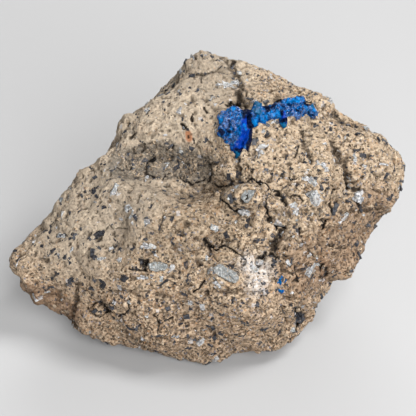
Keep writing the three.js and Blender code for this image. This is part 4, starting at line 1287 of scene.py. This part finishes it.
def add_crystal(shape, skin, row):
    """Adds a crystal of hauyne's own twelve-faced form: a cube with a pyramid raised on each face."""
    (right, down), half, turn, sunk = row
    cube = bmesh.ops.create_cube(shape, size=CUBE_SIDE)["verts"]
    sides = list(dict.fromkeys(face for corner in cube for face in corner.link_faces))
    tips = bmesh.ops.poke(shape, faces=sides, offset=PYRAMID_RISE)["verts"]
    for corner in cube + tips:
        corner.co += jitter(CORNER_JITTER)
    facing = Matrix((ACROSS, UPWARD, -SIGHT)).transposed()
    facing = facing @ Matrix.Rotation(math.radians(turn), 3, "Z")
    facing = facing @ Matrix.Rotation(rng.uniform(-0.3, 0.3), 3, "X")
    lips = [under(skin, right + side, down)[0] for side in (-LIP_REACH, 0, LIP_REACH)]
    depth = sorted((lip - EYE).dot(SIGHT) for lip in lips)[1]
    line = sight_line(right, down)
    centre = EYE + line * ((depth + sunk) / line.dot(SIGHT))
    place = Matrix.Translation(centre) @ facing.to_4x4() @ Matrix.Diagonal((*half, 1))
    bmesh.ops.transform(shape, matrix=place, verts=cube + tips)


def build_nest(name, node, table, finish):
    """A nest of blue crystals grown together, where its CAD node is."""
    shape = loose(node)
    whole = loose("matrix")
    for other in NESTS:
        part = loose(other)
        pour(part, whole)
        part.free()
    ground = BVHTree.FromBMesh(whole)
    whole.free()
    for row in ADDED_CRYSTALS[node]:
        add_crystal(shape, ground, row)
    bmesh.ops.recalc_face_normals(shape, faces=shape.faces)
    nest = revoxelled(as_object(name, shape), NEST_SKIN)
    mesh = nest.data
    skin = skin_of(mesh)
    spots = places(mesh)
    flat = squeezed(spots)
    looks = {}
    for look, patches in table.items():
        share = np.zeros(len(spots))
        for corners, full, end in patches:
            away = distance_to(frame_path(skin, corners, wander=0.3), flat, end)
            share = np.maximum(share, 1 - smooth_step(full, end, away))
        looks[look] = share
        mark(mesh, look, share)
    rise = np.array([nest_relief(Vector(spot), etched, royal) for spot, etched, royal
                     in zip(spots, looks["etched"], looks["royal"])])
    hidden = 1 - smooth_step(-0.22, 0.06, inside_outline(spots, NESTS[node]))
    spots = spots + outwards(mesh) * (rise * (1 - hidden) + NEST_SWELL)[:, None]
    put(mesh, spots + np.array(INWARD) * (hidden * NEST_HIDE)[:, None])
    return finished(nest, finish, "hauyne", node)


# ---------------------------------------------------------------- large crystals in the rock
SET_SKIN = 0.14                     # size of the squares of the set crystals' skin


def build_set_crystal(name, node, finish, slot, number_name, number, turn):
    """A large crystal in its seat: the CAD form, broken in steps along its cleavage."""
    piece = revoxelled(as_object(name, loose(node)), SET_SKIN)
    mesh = piece.data
    spots = places(mesh)
    along = UPWARD * math.sin(math.radians(turn)) + ACROSS * math.cos(math.radians(turn))
    side = along.cross(SIGHT)
    rise = []
    for spot in spots:
        spot = Vector(spot)
        wandering = noise.noise(spot / 1.5) * 0.5
        streak = Vector((spot.dot(along) / 2.5, (spot.dot(side) + wandering) / 0.35, 0))
        lines = noise.fractal(streak, 0.7, 2.1, 3)
        rise.append(0.10 * lines + facet_relief(spot, 1.6, 0.25) + facet_relief(spot, 0.7, 0.2))
    hidden = 1 - smooth_step(-0.16, 0.05, inside_outline(spots, SET_CRYSTALS[node]))
    spots = spots + outwards(mesh) * (np.array(rise) * (1 - hidden))[:, None]
    put(mesh, spots + np.array(SIGHT) * (hidden * SEAT_HIDE)[:, None])
    mark(mesh, number_name, np.full(len(spots), number))
    return finished(piece, finish, slot, node)


# ---------------------------------------------------------------- floor and light
# name, place, side of the square in millimetres, power in watts
STUDIO_LIGHTS = [
    ("key_light", (200, -60, 370), 150, 2.0),
    ("front_light", (120, -420, 250), 300, 5.1),
    ("back_light", (0, 420, 200), 300, 2.0),
]
SKY = (1.0, 0.98, 0.96)
SKY_STRENGTH = 0.28
FLOOR_SIDE = 3000
FLOOR_GREY = (0.30, 0.30, 0.302)


def build_studio():
    shape = bmesh.new()
    bmesh.ops.create_grid(shape, x_segments=1, y_segments=1, size=FLOOR_SIDE / 2)
    floor = as_object("studio_floor", shape)
    floor.data.transform(Matrix.Scale(METRES, 4))
    plain = Finish("studio_floor_pale")
    floor.data.materials.append(plain.wear(Base_Color=FLOOR_GREY, Roughness=0.9))

    world = bpy.data.worlds.new("studio")
    world.use_nodes = True
    sky = world.node_tree.nodes["Background"]
    sky.inputs["Color"].default_value = (*SKY, 1)
    sky.inputs["Strength"].default_value = SKY_STRENGTH
    bpy.context.scene.world = world
    for name, spot, side, power in STUDIO_LIGHTS:
        lamp = bpy.data.lights.new(name, "AREA")
        lamp.size = side * METRES
        lamp.energy = power
        light = bpy.data.objects.new(name, lamp)
        light.location = Vector(spot) * METRES
        light.rotation_euler = (CAMERA_AIM - Vector(spot)).to_track_quat("-Z", "Y").to_euler()
        bpy.context.scene.collection.objects.link(light)
    bpy.context.scene.view_settings.view_transform = "Standard"


# ---------------------------------------------------------------- the specimen
set_camera()
build_studio()

tuff = tuff_finish()
hauyne = hauyne_finish()
sanidine = sanidine_finish()
streaked = sanidine_finish("sanidine_streaked", streaked=True)
augite = augite_finish()

rock = build_rock()
rock_skin = skin_of(rock.data)
strewn = Strewn(rock.data, seed=7)
hollow_path = GROUNDS["hollow"][0]

crumbs = Grains("tuff_crumbs", "hollow")
add_strewn(crumbs, strewn, count=5000, small=0.06, large=0.34, power=3.0, sink=0.4,
           kinds=["crumb"])
add_patch(crumbs, rock_skin, hollow_path, spread=7, count=420, small=0.07, large=0.30,
          kinds=["crumb"])
crumbs.done(tuff, "tuff")

dark_grains = Grains("augite_grains", "slate")
add_named(dark_grains, rock_skin, AUGITE_GRAINS, ["block", "lath", "crumb"])
add_strewn(dark_grains, strewn, count=3600, small=0.07, large=0.34, power=4.0, sink=0.45,
           kinds=["lath", "block", "crumb"])
add_patch(dark_grains, rock_skin, hollow_path, spread=8, count=110, small=0.05, large=0.20,
          kinds=["block", "crumb"])
dark_grains.done(augite, "augite")

pale_grains = Grains("sanidine_grains", "milk")
add_named(pale_grains, rock_skin, SANIDINE_GRAINS, ["block", "lath", "crumb"])
add_strewn(pale_grains, strewn, count=1300, small=0.06, large=0.42, power=5.0, sink=0.6,
           kinds=["lath", "block", "crumb"])
pale_grains.done(sanidine, "sanidine")

blue_grains = Grains("hauyne_grains", "teal")
add_named(blue_grains, rock_skin, HAUYNE_GRAINS, ["crumb"])
add_strewn(blue_grains, strewn, count=10, small=0.06, large=0.12, power=1.5, sink=0.5,
           kinds=["crumb"])
blue_grains.done(hauyne, "hauyne")
finished(rock, tuff, "tuff", "matrix")

build_nest("hauyne_crystal", "hauyne_main_crystal", MAIN_LOOKS, hauyne)
build_nest("hauyne_seam_crystals", "hauyne_seam", SEAM_LOOKS, hauyne)

build_set_crystal("sanidine_front_cut", "sanidine_front", streaked, "sanidine", "milk", number=0.10, turn=-38)
build_set_crystal("sanidine_lath_cut", "sanidine_lath", streaked, "sanidine", "milk", number=0.0, turn=5)
build_set_crystal("sanidine_block_cut", "sanidine_block", streaked, "sanidine", "milk", number=0.0, turn=50)
build_set_crystal("augite_left_cut", "augite_left", augite, "augite", "slate", number=0.05, turn=60)
